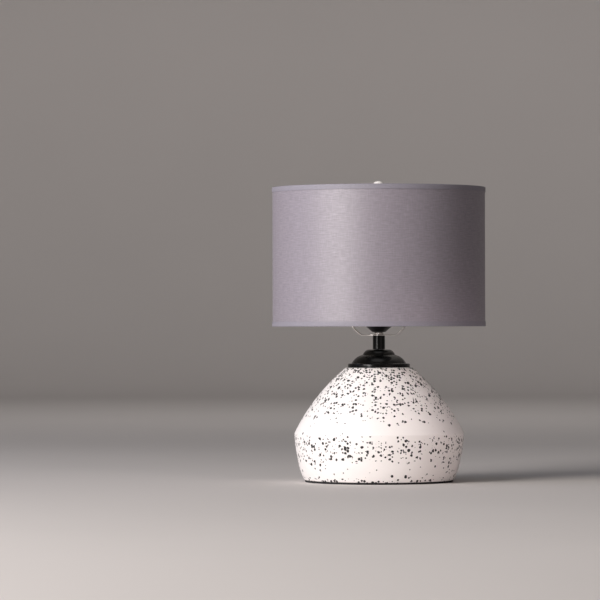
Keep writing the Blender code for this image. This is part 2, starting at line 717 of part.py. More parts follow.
def build_bulb():
    screw_low = BULB_Z + BULB_TIP_HEIGHT + GAP + BULB_INSULATOR_HEIGHT + GAP
    screw_high = screw_low + BULB_SCREW_LENGTH
    collar_low = screw_high + GAP
    collar_high = collar_low + BULB_COLLAR_HEIGHT
    globe_top = BULB_Z + BULB_LENGTH
    disc("bulb_tip", BULB_TIP_RADIUS, BULB_Z, BULB_Z + BULB_TIP_HEIGHT, ZINC, TINY_ROUND)
    insulator_low = BULB_Z + BULB_TIP_HEIGHT + GAP
    insulator_high = insulator_low + BULB_INSULATOR_HEIGHT
    cone = [(0, insulator_high), (BULB_SCREW_RADIUS * 0.86, insulator_high)]
    cone += [(BULB_TIP_RADIUS, insulator_low), (0, insulator_low)]
    turned("bulb_insulator", cone, BAKELITE, 24)
    disc("bulb_screw_cap", BULB_SCREW_RADIUS, screw_low, screw_high, CHROME, 24)
    collar_top = (BULB_RADIUS, collar_high)
    collar_foot = (BULB_COLLAR_FOOT, collar_low)
    outline = [(0, collar_high), collar_top]
    outline += arc(collar_top, collar_foot, BULB_COLLAR_HEIGHT / 9, 5)
    outline.append((0, collar_low))
    turned("bulb_collar", outline, BULB_PLASTIC, 24)
    globe_low = collar_high + GAP
    rise = globe_top - globe_low
    outline = []
    for i in range(8):
        angle = math.radians(90 * (1 - i / 7))
        outline.append((BULB_RADIUS * math.cos(angle), globe_low + rise * math.sin(angle)))
    outline[0] = (0, globe_top)
    sheet_shell("bulb_globe", outline, BULB_WALL, OPAL, 24)


# ---------------------------------------------------------------- shade


def build_shade_wall():
    low = SHADE_BASE_Z + TRIM_SHEET + SKIN_GAP
    high = SHADE_TOP_Z - TRIM_SHEET - SKIN_GAP
    tube("shade_fabric", FABRIC_RADIUS - FABRIC_SHEET, FABRIC_RADIUS, low, high, GREY_FABRIC, LARGE_ROUND)
    tube("shade_liner", LINER_RADIUS - LINER_SHEET, LINER_RADIUS, low, high, LINER, LARGE_ROUND)


def build_trim(name, edge, inward, lip):
    """Tape folded over the shade's edge: edge is its level and inward points along Z into the shade."""
    inner = RING_RADIUS - RING_WIRE_RADIUS - SKIN_GAP
    sheet = inward * TRIM_SHEET
    outline = [
        (SHADE_RADIUS, edge + inward * TRIM_WIDTH),
        (SHADE_RADIUS, edge),
        (inner - TRIM_SHEET, edge),
        (inner - TRIM_SHEET, edge + inward * lip),
        (inner, edge + inward * lip),
        (inner, edge + sheet),
        (SHADE_RADIUS - TRIM_SHEET, edge + sheet),
        (SHADE_RADIUS - TRIM_SHEET, edge + inward * TRIM_WIDTH),
    ]
    if inward < 0:
        outline.reverse()
    turned(name, outline, GREY_TRIM, LARGE_ROUND, closed=True)


def build_shade_edges():
    arm_clear = RING_INSET - ARM_WIRE_RADIUS - SKIN_GAP
    build_trim("shade_trim_bottom", SHADE_BASE_Z, 1, TRIM_WIDTH)
    build_trim("shade_trim_top", SHADE_TOP_Z, -1, max(arm_clear, TRIM_SHEET * 1.2))
    ring("shade_ring_bottom", RING_RADIUS, RING_WIRE_RADIUS, SHADE_BASE_Z + RING_INSET, CHROME)
    ring("shade_ring_top", RING_RADIUS, RING_WIRE_RADIUS, SHADE_TOP_Z - RING_INSET, CHROME)


def build_spider():
    """A hub on the harp's seat, and arms that run level and then rise to the top ring."""
    tube("spider_hub", HUB_HOLE_RADIUS, HUB_RADIUS, HUB_Z, HUB_Z + HUB_THICKNESS, CHROME)
    start = HUB_RADIUS + GAP
    end = RING_RADIUS - RING_WIRE_RADIUS - GAP
    low = HUB_Z + HUB_THICKNESS / 2
    rise = SHADE_TOP_Z - RING_INSET - low
    steps = 16
    for number in range(ARM_COUNT):
        angle = math.pi / 2 + number * 2 * math.pi / ARM_COUNT
        points = []
        for i in range(steps + 1):
            run = i / steps
            share = max(0.0, (run - ARM_RISE_START) / (0.96 - ARM_RISE_START))
            share = min(1.0, share)
            r = start + (end - start) * run
            z = low + rise * share * share * (3 - 2 * share)
            points.append((r * math.cos(angle), r * math.sin(angle), z))
        wire(f"spider_arm_{number + 1}", points, ARM_WIRE_RADIUS, CHROME)


# ---------------------------------------------------------------- finial


def build_finial():
    bore = STUD_RADIUS + GAP
    sleeve = bore + FINIAL_SLEEVE_WALL
    collar_top = FINIAL_Z + FINIAL_COLLAR_HEIGHT
    thread_top = FINIAL_Z + FINIAL_THREAD_DEPTH
    sleeve_top = thread_top + FINIAL_SLEEVE_WALL
    outline = [
        (0, sleeve_top),
        (sleeve, sleeve_top),
        (sleeve, collar_top),
        (FINIAL_COLLAR_RADIUS, collar_top),
        (FINIAL_COLLAR_RADIUS, FINIAL_Z),
        (bore, FINIAL_Z),
        (bore, thread_top),
        (0, thread_top),
    ]
    turned("finial_insert", outline, CHROME, 24)
    low = collar_top + GAP
    centre = low + math.sqrt(FINIAL_RADIUS**2 - FINIAL_FLAT_RADIUS**2)
    first = math.pi / 2
    last = -math.acos(FINIAL_FLAT_RADIUS / FINIAL_RADIUS)
    outline = []
    for i in range(12):
        angle = first + (last - first) * i / 11
        outline.append((FINIAL_RADIUS * math.cos(angle), centre + FINIAL_RADIUS * math.sin(angle)))
    outline[0] = (0, centre + FINIAL_RADIUS)
    hole = sleeve + GAP
    outline += [(hole, low), (hole, sleeve_top + GAP), (0, sleeve_top + GAP)]
    turned("finial_ball", outline, WHITE_GLAZE, 24)


# ---------------------------------------------------------------- the lamp

build_body()
build_grommet()
build_foot()
build_pipe_stack()
build_cap()
build_neck()
build_harp()
build_holder_cap()
build_holder_body()
build_insert()
build_contact()
build_bulb()
build_shade_wall()
build_shade_edges()
build_spider()
build_finial()
bpy.context.view_layer.update()
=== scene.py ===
"""Table lamp: a speckled stoneware vase, a black cap, a chrome harp and a drum shade of slub linen."""

import math

import bmesh
import bpy
from mathutils import Matrix, Vector


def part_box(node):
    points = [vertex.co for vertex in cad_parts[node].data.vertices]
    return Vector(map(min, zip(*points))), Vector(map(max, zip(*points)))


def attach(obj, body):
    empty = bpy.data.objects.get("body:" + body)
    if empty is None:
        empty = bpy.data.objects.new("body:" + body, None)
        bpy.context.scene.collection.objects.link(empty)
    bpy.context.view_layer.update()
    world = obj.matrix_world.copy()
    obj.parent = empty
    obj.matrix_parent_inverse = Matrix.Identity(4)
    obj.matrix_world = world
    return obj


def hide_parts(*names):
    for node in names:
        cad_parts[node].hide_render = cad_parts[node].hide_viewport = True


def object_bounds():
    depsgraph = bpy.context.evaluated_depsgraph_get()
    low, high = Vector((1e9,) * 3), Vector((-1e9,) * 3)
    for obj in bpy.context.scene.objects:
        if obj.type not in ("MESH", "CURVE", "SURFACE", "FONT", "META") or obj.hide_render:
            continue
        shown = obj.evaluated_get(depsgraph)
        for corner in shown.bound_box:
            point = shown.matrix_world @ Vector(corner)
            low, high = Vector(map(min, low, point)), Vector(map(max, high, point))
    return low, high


bl_info = {
    "name": "Speckled Stoneware Lamp",
    "version": (1, 0, 0),
    "blender": (4, 5, 0),
    "location": "View3D > Sidebar > Lamp",
    "description": "Builds a speckled stoneware table lamp with a linen drum shade",
    "category": "Add Mesh",
}

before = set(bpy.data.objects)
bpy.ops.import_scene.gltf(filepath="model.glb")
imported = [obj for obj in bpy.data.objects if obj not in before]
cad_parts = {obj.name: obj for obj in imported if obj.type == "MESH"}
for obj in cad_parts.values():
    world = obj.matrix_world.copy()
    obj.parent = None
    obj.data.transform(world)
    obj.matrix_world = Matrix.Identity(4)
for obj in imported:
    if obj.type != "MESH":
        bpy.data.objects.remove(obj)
CAD_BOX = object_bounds()

MM = 0.001
CLEARANCE = 0.3 * MM
HARP_TURN = math.radians(-12)
UV_NAME = "cloth"
BAND_WAVE = math.pi / 10  # a wave texture of scale 1 repeats after this length
DOUBLES = 0.002 * MM  # points nearer than this are one
EASED_FROM = math.radians(40)  # edges sharper than this are rounded
CLOTH_RADIUS = 150 * MM  # where the cloth's threads have their true pitch
HOLD_SHARE, HOLD_EXTRA = 1.4, 0.15 * MM  # how far past a rounding its holding points stand

# how thick the specks lie, by share of the vase's height: foot, broken band, clean ridge, upper wall
SPECK_BANDS = (
    (0.0, 0.7),
    (0.022, 0.55),
    (0.04, 0.1),
    (0.15, 0.12),
    (0.2, 0.52),
    (0.35, 0.62),
    (0.4, 0.28),
    (0.42, 0.03),
    (0.49, 0.03),
    (0.56, 0.26),
    (0.68, 0.62),
    (1.0, 0.95),
)
# speck layers: cell size and radius as shares of the spacing and the cell, and the share of cells kept
SPECK_LAYERS = ((1.0, 0.66, 0.5), (0.8, 0.46, 0.36))

# the camera stands five metres off with a long lens; the floor is flat for six and then curves up
CAMERA_PLACE = (-0.1107, -5.056, 0.222)
CAMERA_PITCH, CAMERA_ROLL = math.radians(0.376), math.radians(-0.1)
CAMERA_LENS, CAMERA_SENSOR = 216, 36
SWEEP_RADIUS, SWEEP_BEND, SWEEP_TOP = 7.2, 1.2, (8.0, 3.0)


def linear(code):
    """The linear colour of an sRGB hex value."""
    channels = [int(code[i : i + 2], 16) / 255 for i in (0, 2, 4)]
    curve = [c / 12.92 if c <= 0.04045 else ((c + 0.055) / 1.055) ** 2.4 for c in channels]
    return (*curve, 1.0)


def length(name, description, default):
    """A property for a size in metres."""
    return bpy.props.FloatProperty(
        name=name, description=description, default=default, min=0.0, unit="LENGTH", precision=5
    )


def colour(name, description, code):
    """A property for a colour, from its sRGB hex value."""
    return bpy.props.FloatVectorProperty(
        name=name, description=description, default=linear(code), size=4, min=0.0, max=1.0, subtype="COLOR"
    )


# ---- sizes and colours


class LampSizes(bpy.types.PropertyGroup):
    """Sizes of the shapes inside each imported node's box"""

    foot_radius: length("Foot radius", "Radius of the vase where it stands", 105 * MM)
    hip_radius: length("Hip radius", "Radius where the lower wall turns in towards the foot", 114.2 * MM)
    hip_height: length("Hip height", "Height of the hip above the vase's foot", 29 * MM)
    ridge_height: length("Ridge height", "Height of the widest line above the vase's foot", 65.4 * MM)
    shoulder_radius: length("Shoulder radius", "Radius of the vase's flat top", 46.6 * MM)
    upper_bulge: length("Upper bulge", "How far the upper wall bows out", 6.3 * MM)
    hip_bulge: length("Hip bulge", "How far the wall between ridge and hip bows out", 0.8 * MM)
    foot_bulge: length("Foot bulge", "How far the wall between hip and foot bows out", 1.2 * MM)
    vase_wall: length("Vase wall", "Thickness of the thrown wall", 6 * MM)
    outlet_height: length("Outlet height", "Height of the cord outlet above the vase's foot", 20 * MM)
    outlet_radius: length("Outlet radius", "Radius of the hole that the cord bush fits", 6.4 * MM)
    cord_radius: length("Cord bore", "Radius of the bush's bore", 4.2 * MM)
    cap_step: length("Cap step", "Height of the step between the cap's two tiers", 17.2 * MM)
    cap_sheet: length("Cap sheet", "Thickness of the spun steel", 1 * MM)
    strap_sheet: length("Strap sheet", "Thickness of the harp's saddle", 1.4 * MM)
    harp_half_width: length("Harp half width", "Half the harp's greatest width", 55 * MM)
    thread_pitch: length("Thread pitch", "Spacing of the shade cloth's threads", 1.1 * MM)
    speck_spacing: length("Speck spacing", "Cell size that the large glaze specks are scattered by", 3.8 * MM)


class LampColours(bpy.types.PropertyGroup):
    """Base colours of the lamp's finishes"""

    glaze: colour("Glaze", "Warm white of the vase's glaze", "EFEAE8")
    speck: colour("Speck", "Iron specks in the glaze", "0B0A0A")
    enamel: colour("Enamel", "Black of the cap and neck", "030303")
    chrome: colour("Chrome", "Bright plate of the harp and spider", "CBC6C3")
    cloth: colour("Cloth", "Mauve grey of the shade's linen", "89828B")
    tape: colour("Tape", "Binding tape on the shade's edges", "88848E")
    finial: colour("Finial", "White glaze of the finial's ball", "F1ECE8")
    floor: colour("Floor", "Pale studio floor", "CFC9C6")


def sizes():
    return bpy.context.scene.lamp_sizes


def colours():
    return bpy.context.scene.lamp_colours


# ---- nodes


def add_node(tree, kind, inputs=None, stops=(), **settings):
    """Adds a shader node with its settings and links. Inputs go by name or number; stops fill a ramp."""
    node = tree.nodes.new("ShaderNode" + kind)
    for name, value in settings.items():
        setattr(node, name, value)
    for socket, value in (inputs or {}).items():
        if isinstance(value, bpy.types.Node):
            value = value.outputs[0]
        if isinstance(value, bpy.types.NodeSocket):
            tree.links.new(value, node.inputs[socket])
        else:
            node.inputs[socket].default_value = value
    for number, (position, tone) in enumerate(stops):
        ramp = node.color_ramp.elements
        stop = ramp[number] if number < 2 else ramp.new(position)
        stop.position = position
        stop.color = (tone, tone, tone, 1.0)
    return node


def start_material(name, metallic=0.0, ior=1.5):
    """An empty material with a Principled shader. Returns it, its tree, shader and coordinates."""
    material = bpy.data.materials.new(name)
    material.use_nodes = True
    tree = material.node_tree
    tree.nodes.clear()
    shader = add_node(tree, "BsdfPrincipled", {"Metallic": metallic, "IOR": ior})
    add_node(tree, "OutputMaterial", {"Surface": shader})
    place = add_node(tree, "TexCoord").outputs["Object"]
    return material, tree, shader, place


def patches(tree, place, patch, stretch=(1, 1, 1), detail=3.0, low=0.32, high=0.68):
    """Soft random patches of one real size, from 0 to 1."""
    scale = [s / patch for s in stretch]
    mapped = add_node(tree, "Mapping", {"Vector": place, "Scale": scale})
    noise = add_node(tree, "TexNoise", {"Vector": mapped, "Scale": 1.0, "Detail": detail})
    return add_node(tree, "MapRange", {"Value": noise, "From Min": low, "From Max": high})


def dress(tree, shader, mask, tones, roughness, relief):
    """Colour, roughness and bump that all follow one mask. Returns the colour and bump nodes."""
    tone = add_node(tree, "Mix", {0: mask, 6: tones[0], 7: tones[1]}, data_type="RGBA")
    gloss = add_node(tree, "MapRange", {"Value": mask, "To Min": roughness[0], "To Max": roughness[1]})
    bump = add_node(tree, "Bump", {"Height": mask, "Distance": relief})
    tree.links.new(tone.outputs[2], shader.inputs["Base Color"])
    tree.links.new(gloss.outputs[0], shader.inputs["Roughness"])
    tree.links.new(bump.outputs[0], shader.inputs["Normal"])
    return tone, bump


def shaded(tone, factor):
    """A colour made lighter or darker."""
    return (*(min(1.0, c * factor) for c in tone[:3]), 1.0)


def plain_finish(name, code, patch, roughness, relief, spread, metallic=0.0, ior=1.5, stretch=(1, 1, 1)):
    """A finish whose grain has one real size: its tone, gloss and surface vary with the grain."""
    material, tree, shader, place = start_material(name, metallic, ior)
    tone = linear(code)
    mask = patches(tree, place, patch, stretch)
    dress(tree, shader, mask, (shaded(tone, 1 - spread), shaded(tone, 1 + spread)), roughness, relief)
    return material


# ---- finishes


def speckled_stoneware():
    """Thrown stoneware under a satin tin glaze: milky white, with black iron specks melted into it.

    The specks sit thick on the upper wall and in a broken band round the hip, and leave the ridge clean.
    """
    low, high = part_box("ceramic_body")
    material, tree, shader, place = start_material("speckled_stoneware_glaze", ior=1.52)
    cloud = patches(tree, place, 45 * MM)
    skin = patches(tree, place, 9 * MM, detail=2.0)
    glaze = colours().glaze
    tone, bump = dress(tree, shader, cloud, (shaded(glaze, 0.97), shaded(glaze, 1.0)), (0.5, 0.44), 0.0)
    fray, ragged_edge = 2.2 * MM, 1.9 * MM
    tangle = add_node(tree, "TexNoise", {"Vector": place, "Scale": 1 / fray, "Detail": 2.0}).outputs["Color"]
    centred = add_node(tree, "VectorMath", {0: tangle, 1: (0.5,) * 3}, operation="SUBTRACT")
    ragged = add_node(tree, "VectorMath", {0: centred, 1: (ragged_edge,) * 3, 2: place}, operation="MULTIPLY_ADD")
    level = add_node(tree, "SeparateXYZ", {0: place}).outputs["Z"]
    height = add_node(tree, "MapRange", {"Value": level, "From Min": low.z, "From Max": high.z})
    band = add_node(tree, "ValToRGB", {0: height}, stops=SPECK_BANDS)
    clusters = patches(tree, place, 26 * MM, detail=1.0)
    cluster_share = add_node(tree, "MapRange", {"Value": clusters, "To Min": 0.7, "To Max": 1.1})
    density = add_node(tree, "Math", {0: band, 1: cluster_share}, operation="MULTIPLY")
    coat, relief = tone.outputs[2], skin
    for cell, reach, share in SPECK_LAYERS:
        scale = 1 / (sizes().speck_spacing * cell)
        cells = add_node(tree, "TexVoronoi", {"Vector": ragged, "Scale": scale})
        chance = add_node(tree, "SeparateColor", {0: cells.outputs["Color"]})
        size = add_node(tree, "MapRange", {"Value": chance.outputs[1], "To Min": reach * 0.6, "To Max": reach})
        inside = add_node(tree, "Math", {0: size, 1: cells.outputs["Distance"]}, operation="SUBTRACT")
        soft = add_node(tree, "MapRange", {"Value": inside, "From Min": -0.02, "From Max": 0.05})
        wanted = add_node(tree, "Math", {0: density, 1: share}, operation="MULTIPLY")
        kept = add_node(tree, "Math", {0: chance.outputs[0], 1: wanted}, operation="LESS_THAN")
        speck = add_node(tree, "Math", {0: soft, 1: kept}, operation="MULTIPLY")
        iron = tuple(colours().speck)
        coat = add_node(tree, "Mix", {0: speck, 6: coat, 7: iron}, data_type="RGBA").outputs[2]
        relief = add_node(tree, "Math", {0: relief, 1: speck}, operation="SUBTRACT")
    tree.links.new(coat, shader.inputs["Base Color"])
    tree.links.new(relief.outputs[0], bump.inputs["Height"])
    bump.inputs["Distance"].default_value = 0.05 * MM
    return material


def black_enamel():
    """Stoved black enamel on spun steel: a soft gloss with faint spinning rings under the paint."""
    material, tree, shader, place = start_material("black_enamelled_steel")
    peel = patches(tree, place, 1.6 * MM, detail=1.0)
    tone = tuple(colours().enamel)
    bump = dress(tree, shader, peel, (shaded(tone, 0.8), shaded(tone, 1.2)), (0.17, 0.23), 0.006 * MM)[1]
    shader.inputs["Specular IOR Level"].default_value = 0.3
    flat = add_node(tree, "VectorMath", {0: place, 1: (1, 1, 0)}, operation="MULTIPLY")
    radius = add_node(tree, "VectorMath", {0: flat}, operation="LENGTH")
    ring = {"W": radius.outputs["Value"], "Scale": 1 / (1.3 * MM), "Detail": 2.0}
    rings = add_node(tree, "TexNoise", ring, noise_dimensions="1D")
    both = add_node(tree, "Math", {0: rings, 1: peel}, operation="ADD")
    tree.links.new(both.outputs[0], bump.inputs["Height"])
    return material


def chrome_plate():
    """Bright chrome on drawn steel wire: mirror-like, dulled a little by wiping marks."""
    material, tree, shader, place = start_material("chrome_plated_steel", metallic=1.0)
    marks = patches(tree, place, 5 * MM, stretch=(6, 6, 1))
    tone = tuple(colours().chrome)
    dress(tree, shader, marks, (shaded(tone, 0.92), shaded(tone, 1.0)), (0.08, 0.2), 0.006 * MM)
    return material


def zinc_plate():
    """Zinc plate on pressed steel: grey with a crystal spangle."""
    material, tree, shader, place = start_material("zinc_plated_steel", metallic=1.0)
    spangle = add_node(tree, "TexVoronoi", {"Vector": place, "Scale": 1 / (3 * MM)})
    grey = add_node(tree, "SeparateColor", {0: spangle.outputs["Color"]})
    dress(tree, shader, grey, (linear("A3A5A8"), linear("BBBDBF")), (0.32, 0.5), 0.004 * MM)
    return material


def slub_linen():
    """Plain-woven linen laminated to the liner: mauve grey, with thick slubs along weft and warp.

    The lamination leaves the threads slightly glazed, so the cloth has a broad, soft highlight.
    Threads are drawn a little over their real pitch, which would be too fine to show.
    """
    material, tree, shader, _ = start_material("slub_linen")
    cloth = add_node(tree, "UVMap", uv_map=UV_NAME).outputs[0]
    shifted = add_node(tree, "Mapping", {"Vector": cloth, "Location": (0.37, 0.11, 0)})
    weft = patches(tree, cloth, 1.3 * MM, stretch=(0.085, 1, 1), detail=1.0, low=0.42, high=0.74)
    warp = patches(tree, cloth, 1.5 * MM, stretch=(1, 0.12, 1), detail=1.0, low=0.45, high=0.8)
    thin = patches(tree, shifted, 1.2 * MM, stretch=(0.12, 1, 1), detail=1.0, low=0.58, high=0.28)
    scale = BAND_WAVE / sizes().thread_pitch
    threads = {"Vector": cloth, "Scale": scale, "Distortion": 0.6, "Detail Scale": 2.0}
    across, along = (add_node(tree, "TexWave", threads, bands_direction=way).outputs["Fac"] for way in "XY")
    weave = add_node(tree, "Math", {0: across, 1: along}, operation="MULTIPLY")
    slubs = add_node(tree, "Math", {0: weft, 1: warp}, operation="ADD")
    lift = add_node(tree, "Math", {0: slubs, 1: thin}, operation="SUBTRACT")
    thread = add_node(tree, "Math", {0: weave, 1: 0.5, 2: lift}, operation="MULTIPLY_ADD")
    mask = add_node(tree, "MapRange", {"Value": thread, "From Min": -0.8, "From Max": 1.9})
    shader.inputs["Specular IOR Level"].default_value = 0.8
    tone = tuple(colours().cloth)
    dress(tree, shader, mask, (shaded(tone, 0.82), shaded(tone, 1.18)), (0.54, 0.42), 0.1 * MM)
    return material


def binding_tape():
    """Ribbed cotton tape, folded over the wire and glued: bluer than the cloth, with fine cross ribs."""
    material, tree, shader, _ = start_material("ribbed_cotton_tape")
    cloth = add_node(tree, "UVMap", uv_map=UV_NAME).outputs[0]
    rib = {"Vector": cloth, "Scale": BAND_WAVE / (1.4 * MM), "Distortion": 1.0, "Detail Scale": 1.5}
    ribs = add_node(tree, "TexWave", rib, bands_direction="X")
    fibres = patches(tree, cloth, 1.2 * MM, stretch=(0.3, 1, 1), detail=2.0)
    mask = add_node(tree, "Math", {0: ribs.outputs["Fac"], 1: fibres}, operation="MULTIPLY")
    tone = tuple(colours().tape)
    dress(tree, shader, mask, (shaded(tone, 0.92), shaded(tone, 1.12)), (0.6, 0.5), 0.08 * MM)
    return material


def finial_glaze():
    """Glossy white glaze on a porcelain ball: a clear coat over a slightly uneven body."""
    material, tree, shader, place = start_material("white_glazed_porcelain", ior=1.52)
    cloud = patches(tree, place, 5 * MM, detail=1.0)
    tone = tuple(colours().finial)
    dress(tree, shader, cloud, (shaded(tone, 0.97), shaded(tone, 1.0)), (0.14, 0.1), 0.02 * MM)
    return material


def floor_finish():
    """Pale matt studio floor with a very faint mottle."""
    material, tree, shader, place = start_material("studio_floor")
    cloud = patches(tree, place, 0.4)
    tone = tuple(colours().floor)
    dress(tree, shader, cloud, (shaded(tone, 0.985), shaded(tone, 1.0)), (0.75, 0.8), 0.0)
    return material


# finishes with one grain each: hex colour, grain size, roughness, relief and spread, then what is special
PLAIN_FINISHES = {
    # styrene film with a paper face: matt white, faintly cloudy
    "paper_faced_styrene": (("E8E5DF", 12 * MM, (0.5, 0.6), 0.01 * MM, 0.025), {}),
    # closed-cell foam cut from sheet: dead matt, with open bubbles about a millimetre wide
    "eva_foam": (("1E1D1E", 1.2 * MM, (0.85, 0.95), 0.15 * MM, 0.35), {}),
    # pressed wood fibre: brown, with fibres a few millimetres long
    "hardboard": (("7A5F44", 1.2 * MM, (0.75, 0.9), 0.05 * MM, 0.25), {"stretch": (0.25, 1, 1)}),
    # moulded rubber: soft black with a fine bloom
    "moulded_rubber": (("201F20", 2 * MM, (0.6, 0.75), 0.02 * MM, 0.3), {}),
    # phenolic moulding: deep black, polished by the mould, with a hint of flow marks
    "phenolic": (("131213", 4 * MM, (0.28, 0.42), 0.015 * MM, 0.3), {"ior": 1.6, "stretch": (1, 1, 0.4)}),
    # unglazed electrical porcelain: off-white and slightly gritty
    "electrical_porcelain": (("DEDAD3", 1.5 * MM, (0.35, 0.5), 0.02 * MM, 0.04), {}),
    # rolled brass: warm, with drawing lines round the shell
    "rolled_brass": (
        ("CBAC62", 1.5 * MM, (0.22, 0.36), 0.008 * MM, 0.1),
        {"metallic": 1.0, "stretch": (0.3, 0.3, 1)},
    ),
    # opal polycarbonate: milky, satin from the mould
    "opal_polycarbonate": (("EEEDE9", 6 * MM, (0.34, 0.42), 0.006 * MM, 0.02), {"ior": 1.58}),
    # moulded polybutylene: white with a slight grain
    "moulded_pbt": (("E6E5E1", 0.8 * MM, (0.42, 0.52), 0.012 * MM, 0.02), {}),
    # nickel plate on a rolled thread: bright, a little warm
    "nickel_plate": (("C9C5BE", 2 * MM, (0.18, 0.3), 0.006 * MM, 0.06), {"metallic": 1.0}),
}
MADE_FINISHES = {
    "speckled_stoneware_glaze": speckled_stoneware,
    "black_enamelled_steel": black_enamel,
    "chrome_plated_steel": chrome_plate,
    "zinc_plated_steel": zinc_plate,
    "slub_linen": slub_linen,
    "ribbed_cotton_tape": binding_tape,
    "white_glazed_porcelain": finial_glaze,
    "studio_floor": floor_finish,
}
# slot and finish of what several pieces are made of
CHROME = ("chrome", "chrome_plated_steel")
ENAMEL = ("black_painted_steel", "black_enamelled_steel")
ZINC = ("zinc_steel", "zinc_plated_steel")
THERMOSET = ("black_thermoset", "phenolic")


def finish_called(name):
    """A finish made once and shared by every piece that has it."""
    if name in bpy.data.materials:
        return bpy.data.materials[name]
    if name in MADE_FINISHES:
        return MADE_FINISHES[name]()
    plain, special = PLAIN_FINISHES[name]
    return plain_finish(name, *plain, **special)


# ---- shaping


def arc(start, end, bulge, steps):
    """Outline points on the arc from start to end, bowed to the left by bulge, without the start."""
    a, b = Vector(start[:2]), Vector(end[:2])
    chord = b - a
    half = chord.length / 2
    radius = (half * half + bulge * bulge) / (2 * bulge)
    centre = (a + b) / 2 + Vector((-chord.y, chord.x)).normalized() * (bulge - radius)
    sweep = 2 * math.asin(half / radius)
    points = [centre + Matrix.Rotation(-sweep * i / steps, 2) @ (a - centre) for i in range(1, steps + 1)]
    return [(p.x, p.y) for p in points[:-1]] + [end]


def held(outline, closed):
    """Adds a point just past each rounded corner, so that the broad faces beside it shade flat."""
    points = []
    count = len(outline)
    for i, point in enumerate(outline):
        here = Vector(point[:2])
        for step in (-1, 1):
            if step == 1:
                points.append(point)
            other = outline[(i + step) % count]
            gap = Vector(other[:2]) - here
            ends = not closed and not 0 <= i + step < count
            reach = point[2] * HOLD_SHARE + HOLD_EXTRA if len(point) > 2 else 0
            theirs = other[2] * HOLD_SHARE + HOLD_EXTRA if len(other) > 2 else 0
            if ends or not reach or reach + theirs > gap.length * 0.95:
                continue
            points.append(tuple(here + gap.normalized() * reach))
    return points


def tidy(bm):
    """Merges doubles and turns the faces outwards."""
    bmesh.ops.remove_doubles(bm, verts=bm.verts, dist=DOUBLES)
    bmesh.ops.recalc_face_normals(bm, faces=bm.faces)
    return bm


def rounded(bm, geom, width, segments, affect="VERTICES", clamp=False):
    """Rounds corners or edges."""
    bmesh.ops.bevel(
        bm,
        geom=geom,
        offset=width,
        offset_type="OFFSET",
        segments=segments,
        profile=0.5,
        affect=affect,
        clamp_overlap=clamp,
        material=-1,
    )


def spun(bm, steps, angle=math.tau):
    """Sweeps an outline round the lamp's axis."""
    geom, full = bm.verts[:] + bm.edges[:], angle == math.tau
    centre, axis = (0, 0, 0), (0, 0, 1)
    bmesh.ops.spin(bm, geom=geom, cent=centre, axis=axis, dvec=(0, 0, 0), angle=angle, steps=steps, use_merge=full)
    return tidy(bm)


def turned(outline, steps=96, closed=False, thickness=0.0, segments=4):
    """A shape turned round the lamp's axis. Outline points are (radius, height, optional rounding)."""
    bm = bmesh.new()
    outline = held(outline, closed)
    corners = [bm.verts.new((point[0], 0, point[1])) for point in outline]
    for a, b in zip(corners, corners[1:]):
        bm.edges.new((a, b))
    if closed:
        bm.edges.new((corners[-1], corners[0]))
    for corner, point in zip(corners, outline):
        if len(point) > 2:
            rounded(bm, [corner], point[2], segments)
    spun(bm, steps)
    if thickness:
        bmesh.ops.solidify(bm, geom=bm.faces[:], thickness=thickness)
    return bm


def ring_outline(inner, outer, low, high, roundings):
    """A plain ring's outline. Its roundings go from the top of the bore round to its foot."""
    corners = ((inner, high), (outer, high), (outer, low), (inner, low))
    return [(*corner, width * MM) for corner, width in zip(corners, roundings)]


def dome(radius, rise, centre, last, steps):
    """A dome's outline, from its pole down to an angle seen from its centre's height."""
    angles = [math.pi / 2 + (last - math.pi / 2) * i / steps for i in range(1, steps + 1)]
    return [(0, centre + rise)] + [(radius * math.cos(a), centre + rise * math.sin(a)) for a in angles]


def prism(radius, depth, sides, low=0.0):
    """An upright prism or cylinder standing on low."""
    bm = bmesh.new()
    bmesh.ops.create_cone(bm, cap_ends=True, segments=sides, radius1=radius, radius2=radius, depth=depth)
    bmesh.ops.translate(bm, vec=(0, 0, low + depth / 2), verts=bm.verts)
    return bm


def loose_object(name, bm):
    mesh = bpy.data.meshes.new(name)
    bm.to_mesh(mesh)
    bm.free()
    obj = bpy.data.objects.new(name, mesh)
    bpy.context.scene.collection.objects.link(obj)
    return obj


def read_back(obj):
    """The evaluated mesh of a helper object, which is then removed."""
    bpy.context.view_layer.update()
    evaluated = obj.evaluated_get(bpy.context.evaluated_depsgraph_get())
    bm = bmesh.new()
    bm.from_mesh(evaluated.to_mesh())
    evaluated.to_mesh_clear()
    bpy.data.objects.remove(obj, do_unlink=True)
    return bm


def combined(bm, other, operation):
    """One shape cut by or joined with another."""
    obj, helper = loose_object("worked", bm), loose_object("tool", other)
    modifier = obj.modifiers.new("cut", "BOOLEAN")
    modifier.operation = operation
    modifier.object = helper
    modifier.solver = "EXACT"
    result = read_back(obj)
    bpy.data.objects.remove(helper, do_unlink=True)
    bmesh.ops.remove_doubles(result, verts=result.verts, dist=DOUBLES)
    return result


def eased(bm, width):
    """Rounds a shape's sharp edges."""
    bmesh.ops.dissolve_limit(bm, angle_limit=math.radians(0.5), verts=bm.verts, edges=bm.edges)
    sharp = [e for e in bm.edges if len(e.link_faces) == 2 and e.calc_face_angle() > EASED_FROM]
    rounded(bm, sharp, width, 2, "EDGES", clamp=True)
    return bm


